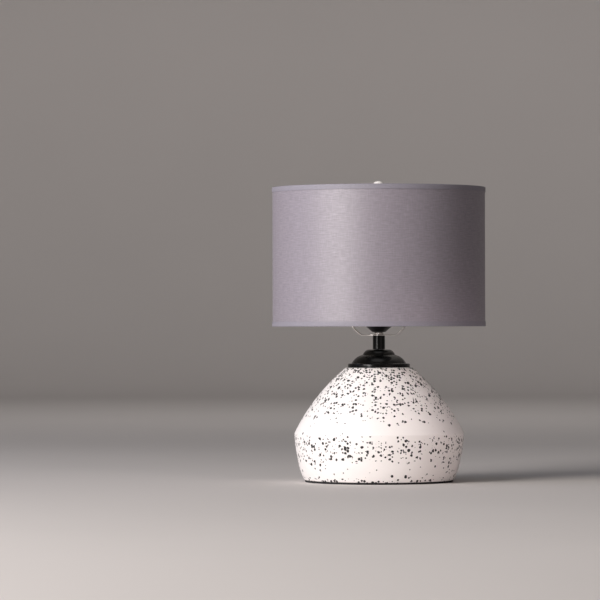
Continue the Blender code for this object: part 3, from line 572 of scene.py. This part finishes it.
def bent_wire(knots, radius):
    """A round wire along a Bezier line. Each knot is its point, then its two handles."""
    curve = bpy.data.curves.new("wire", "CURVE")
    curve.dimensions = "3D"
    curve.resolution_u = 14
    curve.bevel_depth = radius
    curve.bevel_resolution = 5
    curve.use_fill_caps = True
    spline = curve.splines.new("BEZIER")
    spline.bezier_points.add(len(knots) - 1)
    for point, (co, left, right) in zip(spline.bezier_points, knots):
        point.handle_left_type = point.handle_right_type = "FREE"
        point.co, point.handle_left, point.handle_right = co, left, right
    obj = bpy.data.objects.new("wire", curve)
    bpy.context.scene.collection.objects.link(obj)
    return tidy(read_back(obj))


def moved(bm, matrix):
    bmesh.ops.transform(bm, matrix=matrix, verts=bm.verts)
    return bm


def unrolled(bm):
    """Gives cloth a UV map in metres: round the shade, then up it and over its folds."""
    layer = bm.loops.layers.uv.new(UV_NAME)
    for face in bm.faces:
        middle = face.calc_center_median()
        start = math.atan2(middle.x, -middle.y)
        for loop in face.loops:
            x, y, z = loop.vert.co
            radius = math.hypot(x, y)
            turn = math.atan2(x, -y)
            turn += math.tau * round((start - turn) / math.tau)
            loop[layer].uv = (turn * CLOTH_RADIUS, z - radius)
    return bm


def add_piece(name, bm, body, slot, finish, replaces=(), sharp=40):
    """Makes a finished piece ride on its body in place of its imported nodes."""
    obj = loose_object(name, bm)
    obj.data.materials.append(finish_called(finish))
    obj.data.shade_smooth()
    obj.data.set_sharp_from_angle(angle=math.radians(sharp))
    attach(obj, body)
    if replaces:
        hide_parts(*replaces)
    return obj


def refinish(node, slot, finish):
    """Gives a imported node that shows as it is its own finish."""
    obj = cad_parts[node]
    obj.data.materials.clear()
    obj.data.materials.append(finish_called(finish))


# ---- vase


def lower_wall(inset, fine):
    """Outline of the vase from the ridge down to the foot."""
    size = sizes()
    low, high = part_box("ceramic_body")
    ridge = (high.x - inset, low.z + size.ridge_height, 1.0 * MM)
    hip = (size.hip_radius - inset, low.z + size.hip_height, 2.5 * MM)
    foot = (size.foot_radius - inset, low.z, 1.4 * MM if inset == 0 else 1.0 * MM)
    if not fine:
        return [ridge[:2], *arc(ridge, hip[:2], size.hip_bulge, 3), *arc(hip, foot[:2], size.foot_bulge, 3)]
    return [ridge, *arc(ridge, hip, size.hip_bulge, 9), *arc(hip, foot, size.foot_bulge, 8)]


def outlet_frame():
    """Where the cord outlet sits on the back of the wall, and which way it points."""
    line = lower_wall(0, fine=False)
    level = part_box("ceramic_body")[0].z + sizes().outlet_height
    for (r0, z0), (r1, z1) in zip(line, line[1:]):
        if z1 <= level <= z0:
            radius = r0 + (r1 - r0) * (level - z0) / (z1 - z0)
            outward = Vector((0, z0 - z1, r1 - r0)).normalized()
            turn = outward.to_track_quat("Z", "Y").to_matrix().to_4x4()
            return Matrix.Translation((0, radius, level)) @ turn
    raise RuntimeError("the cord outlet is above the vase's lower wall")


class LAMP_OT_add_vase(bpy.types.Operator):
    """Adds the speckled stoneware vase, with its cord outlet"""

    bl_idname = "lamp.add_vase"
    bl_label = "Vase"

    def execute(self, context):
        size = sizes()
        low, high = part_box("ceramic_body")
        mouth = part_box("neck_tube")[1].x - 0.6 * MM
        ridge_z = low.z + size.ridge_height
        slope = math.atan2(high.z - ridge_z, high.x - size.shoulder_radius)
        inner_radius = size.shoulder_radius - size.vase_wall * math.tan(slope / 2)
        shoulder = (size.shoulder_radius, high.z, 1.6 * MM)
        outer = lower_wall(0, fine=True)
        inner_shoulder = (inner_radius, high.z - size.vase_wall)
        inner = [(p[0], p[1]) for p in lower_wall(size.vase_wall, fine=True)]
        outline = [(mouth, high.z), shoulder, *arc(shoulder, outer[0], size.upper_bulge, 26), *outer[1:]]
        outline += reversed([inner_shoulder, *arc(inner_shoulder, inner[0], size.upper_bulge, 12), *inner[1:]])
        outline.append((mouth, high.z - size.vase_wall))
        bm = turned(outline, steps=160, closed=True, segments=5)
        reach = size.vase_wall * 6
        hole = moved(prism(size.outlet_radius, reach, 32, -reach / 2), outlet_frame())
        bm = combined(bm, hole, "DIFFERENCE")
        add_piece(
            "stoneware_vase", bm, "base", "speckled_ceramic", "speckled_stoneware_glaze", ["ceramic_body"], 50
        )
        return {"FINISHED"}


class LAMP_OT_add_foot(bpy.types.Operator):
    """Adds the foam foot, the base board's finish and the rubber cord bush"""

    bl_idname = "lamp.add_foot"
    bl_label = "Foot and Cord Bush"

    def execute(self, context):
        low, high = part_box("foot_pad")
        outline = [(0, high.z), (high.x, high.z, 0.5 * MM), (high.x, low.z, 0.8 * MM), (0, low.z)]
        add_piece("foam_foot", turned(outline, 120), "base", "black_foam", "eva_foam", ["foot_pad"])
        refinish("base_board", "fibreboard", "hardboard")
        size = sizes()
        bore, neck = size.cord_radius, size.outlet_radius - CLEARANCE
        seat, thick = 2 * CLEARANCE, 1.8 * MM
        flange = neck + 2.6 * MM
        back = -size.vase_wall - 3 * CLEARANCE - thick
        outline = [
            (bore, seat + thick, 0.6 * MM),
            (flange, seat + thick, 0.9 * MM),
            (flange, seat, 0.2 * MM),
            (neck, seat),
            (neck, back, 0.5 * MM),
            (bore, back, 0.4 * MM),
        ]
        bush = moved(turned(outline, 48, closed=True), outlet_frame())
        add_piece("cord_bush", bush, "base", "black_rubber", "moulded_rubber", ["cord_grommet"])
        return {"FINISHED"}


# ---- cap, neck and clamp


class LAMP_OT_add_cap(bpy.types.Operator):
    """Adds the black spun cap, the neck above it, and the clamp's finishes"""

    bl_idname = "lamp.add_cap"
    bl_label = "Cap and Neck"

    def execute(self, context):
        low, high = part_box("vase_cap")
        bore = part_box("lamp_pipe")[1].x + CLEARANCE
        rim = high.x
        rim_top = low.z + 5.2 * MM
        step = low.z + sizes().cap_step
        crown_head = (15.4 * MM, high.z, 1.1 * MM)
        crown_foot = (22.6 * MM, step + 0.5 * MM)
        tier_head = (24 * MM, step, 0.5 * MM)
        tier_foot = (rim - 5.2 * MM, rim_top, 1.2 * MM)
        outline = [(bore, high.z), crown_head, *arc(crown_head, crown_foot, 1.2 * MM, 8), tier_head]
        outline += arc(tier_head, tier_foot, 2.1 * MM, 14)
        outline += [(rim, rim_top, 1.6 * MM), (rim, low.z)]
        cap = turned(outline, 128, thickness=sizes().cap_sheet)
        add_piece("spun_cap", cap, "base", *ENAMEL, ["vase_cap"])
        low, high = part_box("neck_tube")
        neck = turned(ring_outline(bore, high.x, low.z, high.z, (0.3, 0.6, 0.4, 0.2)), 64, closed=True)
        add_piece("neck_sleeve", neck, "base", *ENAMEL, ["neck_tube"])
        for node in ("clamp_washer", "lock_washer", "pipe_nut", "lamp_pipe"):
            refinish(node, *ZINC)
        return {"FINISHED"}


# ---- harp


def in_harp_frame(bm):
    """Turns a piece built in the XZ plane to the harp's own direction."""
    return moved(bm, Matrix.Rotation(HARP_TURN, 4, "Z"))


class LAMP_OT_add_saddle(bpy.types.Operator):
    """Adds the harp's pressed saddle and the nut that holds it"""

    bl_idname = "lamp.add_saddle"
    bl_label = "Harp Saddle"

    def execute(self, context):
        low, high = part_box("harp_saddle")
        sheet = sizes().strap_sheet
        mid, base = low.z + sheet / 2, low.z
        arm, flat, rise, shoulder = 36.5 * MM, 26 * MM, base + 10.5 * MM, base + 16 * MM
        half_strap, half_tab = 4.25 * MM, 2 * MM
        bends = [(arm, high.z), (arm, shoulder), (arm, shoulder - sheet), (arm, rise), (flat, mid)]
        chain = [(-x, z) for x, z in bends] + [(x, z) for x, z in reversed(bends)]
        bm = bmesh.new()
        verts = [bm.verts.new((x, 0, z)) for x, z in chain]
        for a, b in zip(verts, verts[1:]):
            bm.edges.new((a, b))
        # the four bends: place in the chain, and reach of the rounding in millimetres
        for number, reach in ((3, 2.6), (4, 3.2), (5, 3.2), (6, 2.6)):
            rounded(bm, [verts[number]], reach * MM, 6)
        edges = bm.edges[:]
        for v in bm.verts:
            v.co.y = -half_strap if v.co.z < shoulder - sheet / 2 else -half_tab
        made = bmesh.ops.extrude_edge_only(bm, edges=edges)["geom"]
        for v in [g for g in made if isinstance(g, bmesh.types.BMVert)]:
            v.co.y = -v.co.y
        tidy(bm)
        strap = loose_object("strap", bm)
        wall = strap.modifiers.new("sheet", "SOLIDIFY")
        wall.thickness, wall.offset, wall.use_even_offset = sheet, 0, True
        bm = read_back(strap)
        bm = combined(bm, prism(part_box("neck_tube")[1].x, sheet, 48, base), "UNION")
        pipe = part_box("lamp_pipe")[1].x + CLEARANCE
        bm = combined(bm, prism(pipe, sheet * 3, 32, base - sheet), "DIFFERENCE")
        bm = eased(bm, 0.25 * MM)
        add_piece("harp_strap", in_harp_frame(bm), "base", *CHROME, ["harp_saddle"])
        low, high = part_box("harp_nut")
        nut = eased(prism(high.x, high.z - low.z, 6, low.z), 0.4 * MM)
        nut = combined(nut, prism(pipe, 10 * MM, 32, low.z - 3 * MM), "DIFFERENCE")
        add_piece("pipe_top_nut", nut, "base", *CHROME, ["harp_nut"], 30)
        return {"FINISHED"}


class LAMP_OT_add_harp(bpy.types.Operator):
    """Adds the harp's wire loop, the seat on top of it and the two sleeves"""

    bl_idname = "lamp.add_harp"
    bl_label = "Harp"

    def execute(self, context):
        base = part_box("harp_saddle")[0].z
        seat_low, seat_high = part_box("harp_seat")
        loop_low, loop_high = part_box("harp_loop")
        wire, leg, straight, sleeve_wall = 1.6 * MM, 39.1 * MM, 29 * MM, 0.7 * MM
        foot_z, knee_z, top_z = loop_low.z, loop_low.z + straight, loop_high.z - wire
        seat_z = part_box("spider_hub")[0].z - CLEARANCE
        wide = (sizes().harp_half_width, (base + seat_z) / 2)
        lower, upper, flat = wide[1] - knee_z, top_z - wide[1], 7.5 * MM
        half = [
            ((leg, foot_z), (leg, foot_z - MM), (leg, foot_z + 9 * MM)),
            ((leg, knee_z), (leg, knee_z - 9 * MM), (leg, knee_z + lower / 2)),
            (wide, (wide[0], wide[1] - lower / 2), (wide[0], wide[1] + upper * 0.6)),
            ((flat, top_z), (flat + wide[0] * 0.55, top_z), (flat / 3, top_z)),
        ]
        knots = [[(x, 0, z) for x, z in knot] for knot in half]
        knots += [[(-x, 0, z) for x, z in (co, right, left)] for co, left, right in reversed(half)]
        loop = in_harp_frame(bent_wire(knots, wire))
        add_piece("harp_wire", loop, "harp", *CHROME, ["harp_loop"])
        stud, boss, disc, rim, thick = 3.1 * MM, 4.6 * MM, 8 * MM, seat_high.x, 1.6 * MM
        outline = [
            (0, seat_high.z),
            (stud, seat_high.z, 0.5 * MM),
            (stud, seat_z, 0.2 * MM),
            (disc, seat_z, 0.5 * MM),
            (disc, seat_z - thick, 0.5 * MM),
            (boss, seat_z - thick, 0.3 * MM),
            (boss, seat_low.z, 0.8 * MM),
            (0, seat_low.z),
        ]
        bore = prism(wire + CLEARANCE, 4 * rim, 24, -2 * rim)
        moved(bore, Matrix.Translation((0, 0, top_z)) @ Matrix.Rotation(math.pi / 2, 4, "Y"))
        seat = combined(turned(outline, 48), bore, "DIFFERENCE")
        add_piece("harp_top_seat", in_harp_frame(seat), "harp", *CHROME, ["harp_seat"])
        for side in ("left", "right"):
            low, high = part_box(f"harp_sleeve_{side}")
            centre = (low + high) / 2
            outer = (high.x - low.x) / 2
            outline = ring_outline(outer - sleeve_wall, outer, low.z, high.z, (0.2, 0.25, 0.25, 0.2))
            sleeve = turned(outline, 48, closed=True, segments=3)
            moved(sleeve, Matrix.Translation((centre.x, centre.y, 0)))
            add_piece(f"slide_sleeve_{side}", sleeve, f"{side}_sleeve", *CHROME, [f"harp_sleeve_{side}"])
        return {"FINISHED"}


# ---- lampholder


class LAMP_OT_add_holder(bpy.types.Operator):
    """Adds the two halves of the lampholder, and the finishes of what is in it"""

    bl_idname = "lamp.add_holder"
    bl_label = "Lampholder"

    def execute(self, context):
        low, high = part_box("holder_cap")
        radius = high.x
        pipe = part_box("lamp_pipe")[1].x + CLEARANCE
        entry, cone, wall = 9.2 * MM, low.z + 9.1 * MM, 1.8 * MM
        floor = low.z + 5 * MM
        floor_radius = entry + (radius - entry) / (cone - low.z) * (floor - low.z) - 1.5 * wall
        outline = [
            (radius, high.z, 0.3 * MM),
            (radius, cone, 1.5 * MM),
            (entry, low.z, 0.8 * MM),
            (pipe, low.z),
            (pipe, floor),
            (floor_radius, floor),
            (radius - wall, cone + wall),
            (radius - wall, high.z),
        ]
        cap = turned(outline, closed=True)
        screw_hole, screw_level = 1.8 * MM, low.z + 2.5 * MM
        drill = prism(screw_hole, radius, 24)
        moved(drill, Matrix.Translation((0, 0, screw_level)) @ Matrix.Rotation(-math.pi / 2, 4, "X"))
        cap = combined(cap, drill, "DIFFERENCE")
        add_piece("holder_base", cap, "base", *THERMOSET, ["holder_cap"])
        low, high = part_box("holder_body")
        mouth = radius - 0.8 * MM
        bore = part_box("bulb_screw_cap")[1].x + 3 * CLEARANCE
        groove, half_groove, lip, ease = 0.5 * MM, 0.6 * MM, mouth + 0.1 * MM, 0.2 * MM
        outline = [(bore, high.z, 0.4 * MM), (mouth, high.z, 1.4 * MM)]
        for level in (6 * MM, 9 * MM, 12 * MM):
            z = high.z - level
            outline += [(lip, z + half_groove, ease), (mouth - groove, z, ease), (lip, z - half_groove, ease)]
        outline += [
            (radius, low.z, 0.4 * MM),
            (mouth - wall, low.z),
            (mouth - wall, high.z - wall),
            (bore, high.z - wall),
        ]
        shell = turned(outline, closed=True)
        add_piece("holder_shell", shell, "base", *THERMOSET, ["holder_body"])
        refinish("holder_insert", "porcelain", "electrical_porcelain")
        refinish("holder_set_screw", *ZINC)
        for node in ("terminal_screw_left", "terminal_screw_right", "thread_shell", "centre_contact"):
            refinish(node, "brass", "rolled_brass")
        return {"FINISHED"}


class LAMP_OT_add_bulb(bpy.types.Operator):
    """Adds the bulb: its globe, its collar and its screw cap"""

    bl_idname = "lamp.add_bulb"
    bl_label = "Bulb"

    def execute(self, context):
        low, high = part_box("bulb_globe")
        globe = turned(dome(high.x, high.z - low.z, low.z, 0, 24), 72, thickness=1.2 * MM)
        add_piece("bulb_dome", globe, "bulb", "opal_diffuser", "opal_polycarbonate", ["bulb_globe"])
        low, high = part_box("bulb_collar")
        top, foot = (high.x, high.z, 0.3 * MM), (14.4 * MM, low.z, 0.8 * MM)
        outline = [(0, high.z), top, *arc(top, foot, (high.z - low.z) / 9, 16), (0, low.z)]
        add_piece("bulb_housing", turned(outline, 72), "bulb", "white_plastic", "moulded_pbt", ["bulb_collar"])
        low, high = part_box("bulb_screw_cap")
        radius, pitch, turns, depth = high.x, 3.6 * MM, 5, 0.9 * MM
        outline = [(0, high.z), (radius, high.z, 0.3 * MM)]
        for turn in range(turns):
            z = high.z - 1.2 * MM - turn * pitch
            outline += [(radius - depth, z, 0.5 * MM), (radius, z - pitch / 2, 0.5 * MM)]
        outline += [(radius - 1.2 * MM, low.z, 0.4 * MM), (0, low.z)]
        add_piece("bulb_thread", turned(outline, 64), "bulb", "chrome", "nickel_plate", ["bulb_screw_cap"], 60)
        refinish("bulb_tip", *ZINC)
        refinish("bulb_insulator", *THERMOSET)
        return {"FINISHED"}


# ---- shade


def cloth_tube(name, node, slot, finish, rows):
    """A thin tube of cloth or film in a node's place."""
    low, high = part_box(node)
    inner = min(Vector(v.co[:2]).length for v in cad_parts[node].data.vertices)
    outline = [(high.x, low.z + (high.z - low.z) * i / rows) for i in range(rows, -1, -1)]
    outline += [(inner, z) for _, z in reversed(outline)]
    bm = unrolled(turned(outline, 144, closed=True))
    return add_piece(name, bm, "shade", slot, finish, [node])


class LAMP_OT_add_shade(bpy.types.Operator):
    """Adds the drum's linen, its back seam and its white liner"""

    bl_idname = "lamp.add_shade"
    bl_label = "Shade Cloth"

    def execute(self, context):
        low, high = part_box("shade_fabric")
        cloth = cloth_tube("shade_linen", "shade_fabric", "grey_fabric", "slub_linen", 12)
        cloth_tube("shade_film", "shade_liner", "white_liner", "paper_faced_styrene", 2)
        seam = bmesh.new()
        half, under_tapes, proud = math.radians(1.6), 14 * MM, 0.02 * MM
        tall = high.z - low.z - under_tapes
        post = [seam.verts.new((0, -high.x - proud, (low.z + high.z + s * tall) / 2)) for s in (1, -1)]
        seam.edges.new(post)
        bmesh.ops.subdivide_edges(seam, edges=seam.edges[:], cuts=11)
        bmesh.ops.rotate(seam, cent=(0, 0, 0), matrix=Matrix.Rotation(math.pi - half, 3, "Z"), verts=seam.verts)
        strip = loose_object("seam_strip", spun(seam, 4, 2 * half))
        wall = strip.modifiers.new("fold", "SOLIDIFY")
        wall.thickness, wall.offset = 0.36 * MM, 1
        seam = eased(read_back(strip), 0.12 * MM)
        seam = add_piece("shade_seam", unrolled(seam), "shade", "grey_fabric", "slub_linen")
        return {"FINISHED"}


class LAMP_OT_add_edges(bpy.types.Operator):
    """Adds the binding tape on the shade's edges and the wire rings in it"""

    bl_idname = "lamp.add_edges"
    bl_label = "Shade Edges"

    def execute(self, context):
        sheet, width, slack, turn_in = 0.5 * MM, 7 * MM, 0.75 * MM, 0.6 * MM
        top_edge, bottom_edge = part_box("shade_trim_top")[1].z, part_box("shade_trim_bottom")[0].z
        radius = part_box("shade_trim_top")[1].x
        ring_low, ring_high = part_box("shade_ring_top")
        wire = (ring_high.z - ring_low.z) / 2
        inner = ring_high.x - 2 * wire - slack
        lip_top = turn_in + top_edge - ring_high.z
        tapes = (
            ("edge_tape_top", "shade_trim_top", top_edge, -1, lip_top),
            ("edge_tape_bottom", "shade_trim_bottom", bottom_edge, 1, width),
        )
        for name, node, edge, inward, lip in tapes:
            outline = [
                (radius, edge + inward * width),
                (radius, edge, 1.0 * MM),
                (inner, edge, 0.8 * MM if lip > 2 * MM else 0.5 * MM),
                (inner, edge + inward * lip),
            ]
            bm = turned(outline, 144, thickness=sheet, segments=5)
            tape = add_piece(name, unrolled(bm), "shade", "grey_trim", "ribbed_cotton_tape", [node])
        for name, node in (("edge_wire_top", "shade_ring_top"), ("edge_wire_bottom", "shade_ring_bottom")):
            low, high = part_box(node)
            bm = bmesh.new()
            wire = (high.z - low.z) / 2
            bmesh.ops.create_circle(bm, segments=12, radius=wire)
            centre = Vector((high.x - wire, 0, low.z + wire))
            moved(bm, Matrix.Translation(centre) @ Matrix.Rotation(math.pi / 2, 4, "X"))
            add_piece(name, spun(bm, 120), "shade", *CHROME, [node])
        return {"FINISHED"}


class LAMP_OT_add_spider(bpy.types.Operator):
    """Adds the spider's hub and its three arms"""

    bl_idname = "lamp.add_spider"
    bl_label = "Spider"

    def execute(self, context):
        low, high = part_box("spider_hub")
        hub_bore, arm_wire = 4 * MM, 1.4 * MM
        hub = turned(ring_outline(hub_bore, high.x, low.z, high.z, (0.3, 0.6, 0.6, 0.3)), 64, closed=True)
        add_piece("spider_washer", hub, "shade", *CHROME, ["spider_hub"])
        ring_low, ring_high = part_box("shade_ring_top")
        ring_radius = (ring_high.z - ring_low.z) / 2
        level, rise_to = (low.z + high.z) / 2, (ring_low.z + ring_high.z) / 2
        start = high.x + CLEARANCE
        end = ring_high.x - 2 * ring_radius - CLEARANCE
        run = end - start
        bend, crest = start + 0.62 * run, start + 0.96 * run
        third = (crest - bend) / 3
        for number in range(3):
            line = [
                ((start, level), (start - MM, level), (start + run / 4, level)),
                ((bend, level), (bend - run / 4, level), (bend + third, level)),
                ((crest, rise_to), (crest - third, rise_to), (crest + MM, rise_to)),
                ((end, rise_to), (end - MM, rise_to), (end + MM, rise_to)),
            ]
            arm = bent_wire([[(r, 0, z) for r, z in knot] for knot in line], arm_wire)
            moved(arm, Matrix.Rotation(math.pi / 2 + number * math.tau / 3, 4, "Z"))
            node = f"spider_arm_{number + 1}"
            add_piece(f"spider_wire_{number + 1}", arm, "shade", *CHROME, [node])
        return {"FINISHED"}


class LAMP_OT_add_finial(bpy.types.Operator):
    """Adds the finial: a chrome collar and a white glazed ball"""

    bl_idname = "lamp.add_finial"
    bl_label = "Finial"

    def execute(self, context):
        low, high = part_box("finial_insert")
        bore, sleeve = 3.4 * MM, 4.2 * MM
        collar, collar_top, thread_top = high.x, low.z + 3.2 * MM, high.z - 0.8 * MM
        outline = [
            (0, high.z),
            (sleeve, high.z),
            (sleeve, collar_top),
            (collar, collar_top, 0.5 * MM),
            (collar, low.z, 0.7 * MM),
            (bore, low.z),
            (bore, thread_top),
            (0, thread_top),
        ]
        insert = turned(outline, 64)
        add_piece("finial_collar", insert, "finial", *CHROME, ["finial_insert"])
        low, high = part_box("finial_ball")
        radius = high.x
        centre = high.z - radius
        last = -math.asin(min(1.0, (centre - low.z) / radius))
        hole, roof = sleeve + CLEARANCE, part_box("finial_insert")[1].z + CLEARANCE
        ball = turned(dome(radius, radius, centre, last, 40) + [(hole, low.z), (hole, roof), (0, roof)], 72)
        add_piece("finial_globe", ball, "finial", "white_finial", "white_glazed_porcelain", ["finial_ball"])
        return {"FINISHED"}


# ---- stage


def softbox(name, azimuth, elevation, distance, size, power, tint, target, spread=180, mirrored=True):
    """A square light aimed at a target. Azimuth 0 is in front of it, and 90 on its right."""
    turn, tilt = math.radians(azimuth), math.radians(elevation)
    away = Vector((math.sin(turn) * math.cos(tilt), -math.cos(turn) * math.cos(tilt), math.sin(tilt)))
    light = bpy.data.lights.new(name, "AREA")
    light.shape = "SQUARE"
    light.size = size
    light.energy = power
    light.spread = math.radians(spread)
    light.color = linear(tint)[:3]
    obj = bpy.data.objects.new(name, light)
    obj.location = target + away * distance
    obj.rotation_euler = (-away).to_track_quat("-Z", "Y").to_euler()
    obj.visible_camera = False
    obj.visible_glossy = mirrored
    bpy.context.scene.collection.objects.link(obj)


class LAMP_OT_add_stage(bpy.types.Operator):
    """Adds the pale floor that curves up all round, the soft lights and the camera"""

    bl_idname = "lamp.add_stage"
    bl_label = "Stage"

    def execute(self, context):
        bowl = turned([(0, 0), (SWEEP_RADIUS, 0, SWEEP_BEND), SWEEP_TOP], segments=12)
        bmesh.ops.reverse_faces(bowl, faces=[f for f in bowl.faces if f.normal.z < 0])
        floor = loose_object("studio_sweep", bowl)
        floor.data.materials.append(finish_called("studio_floor"))
        floor.data.shade_smooth()
        middle = Vector((0, 0, CAD_BOX[1].z / 2))
        vase = Vector((0, 0, CAD_BOX[1].z * 0.26))
        wall = Vector((0, 7.0, 0.5))
        softbox("key_softbox", -47, 20, 4.2, 2.2, 200, "FFFBF8", middle)
        softbox("fill_softbox", 40, 12, 4.0, 2.0, 6, "FFEFEC", middle)
        softbox("rim_softbox", -88, 22, 3.6, 1.4, 18, "D5E0FF", middle)
        softbox("low_softbox", 36, 3, 1.5, 0.12, 0.048, "FFECEA", vase, spread=16, mirrored=False)
        softbox("strip_softbox", -38, 3, 3.0, 0.5, 8, "FFFDFA", middle)
        softbox("top_softbox", -20, 75, 3.4, 2.0, 10, "FFFDFA", middle)
        softbox("wall_softbox", 0, 30, 4.5, 2.5, 26, "FFFBF8", wall)
        world = bpy.data.worlds.new("studio")
        world.use_nodes = True
        background = world.node_tree.nodes["Background"]
        background.inputs["Color"].default_value = linear("F2F2F4")
        background.inputs["Strength"].default_value = 0.1
        scene = context.scene
        scene.world = world
        scene.view_settings.view_transform = "Standard"
        camera = bpy.data.objects.new("camera", bpy.data.cameras.new("camera"))
        camera.data.lens, camera.data.sensor_width = CAMERA_LENS, CAMERA_SENSOR
        facing = Matrix.Rotation(math.pi / 2 + CAMERA_PITCH, 4, "X") @ Matrix.Rotation(CAMERA_ROLL, 4, "Z")
        camera.matrix_world = Matrix.Translation(CAMERA_PLACE) @ facing
        scene.collection.objects.link(camera)
        scene.camera = camera
        return {"FINISHED"}


# ---- add-on

OPERATORS = (
    LAMP_OT_add_stage,
    LAMP_OT_add_vase,
    LAMP_OT_add_foot,
    LAMP_OT_add_cap,
    LAMP_OT_add_saddle,
    LAMP_OT_add_harp,
    LAMP_OT_add_holder,
    LAMP_OT_add_bulb,
    LAMP_OT_add_shade,
    LAMP_OT_add_edges,
    LAMP_OT_add_spider,
    LAMP_OT_add_finial,
)


class LAMP_PT_build(bpy.types.Panel):
    """Lists the lamp's pieces, sizes and colours"""

    bl_label = "Table Lamp"
    bl_idname = "LAMP_PT_build"
    bl_space_type = "VIEW_3D"
    bl_region_type = "UI"
    bl_category = "Lamp"

    def draw(self, context):
        for operator in OPERATORS:
            self.layout.operator(operator.bl_idname)
        for group in (context.scene.lamp_sizes, context.scene.lamp_colours):
            for name in group.__annotations__:
                self.layout.prop(group, name)


CLASSES = (LampSizes, LampColours, *OPERATORS, LAMP_PT_build)


def register():
    for item in CLASSES:
        bpy.utils.register_class(item)
    bpy.types.Scene.lamp_sizes = bpy.props.PointerProperty(type=LampSizes)
    bpy.types.Scene.lamp_colours = bpy.props.PointerProperty(type=LampColours)


def unregister():
    del bpy.types.Scene.lamp_colours
    del bpy.types.Scene.lamp_sizes
    for item in reversed(CLASSES):
        bpy.utils.unregister_class(item)


def main():
    register()
    for operator in OPERATORS:
        group, name = operator.bl_idname.split(".")
        if getattr(getattr(bpy.ops, group), name)() != {"FINISHED"}:
            raise RuntimeError(f"{operator.bl_label} wasn't made")


if __name__ == "__main__":
    main()
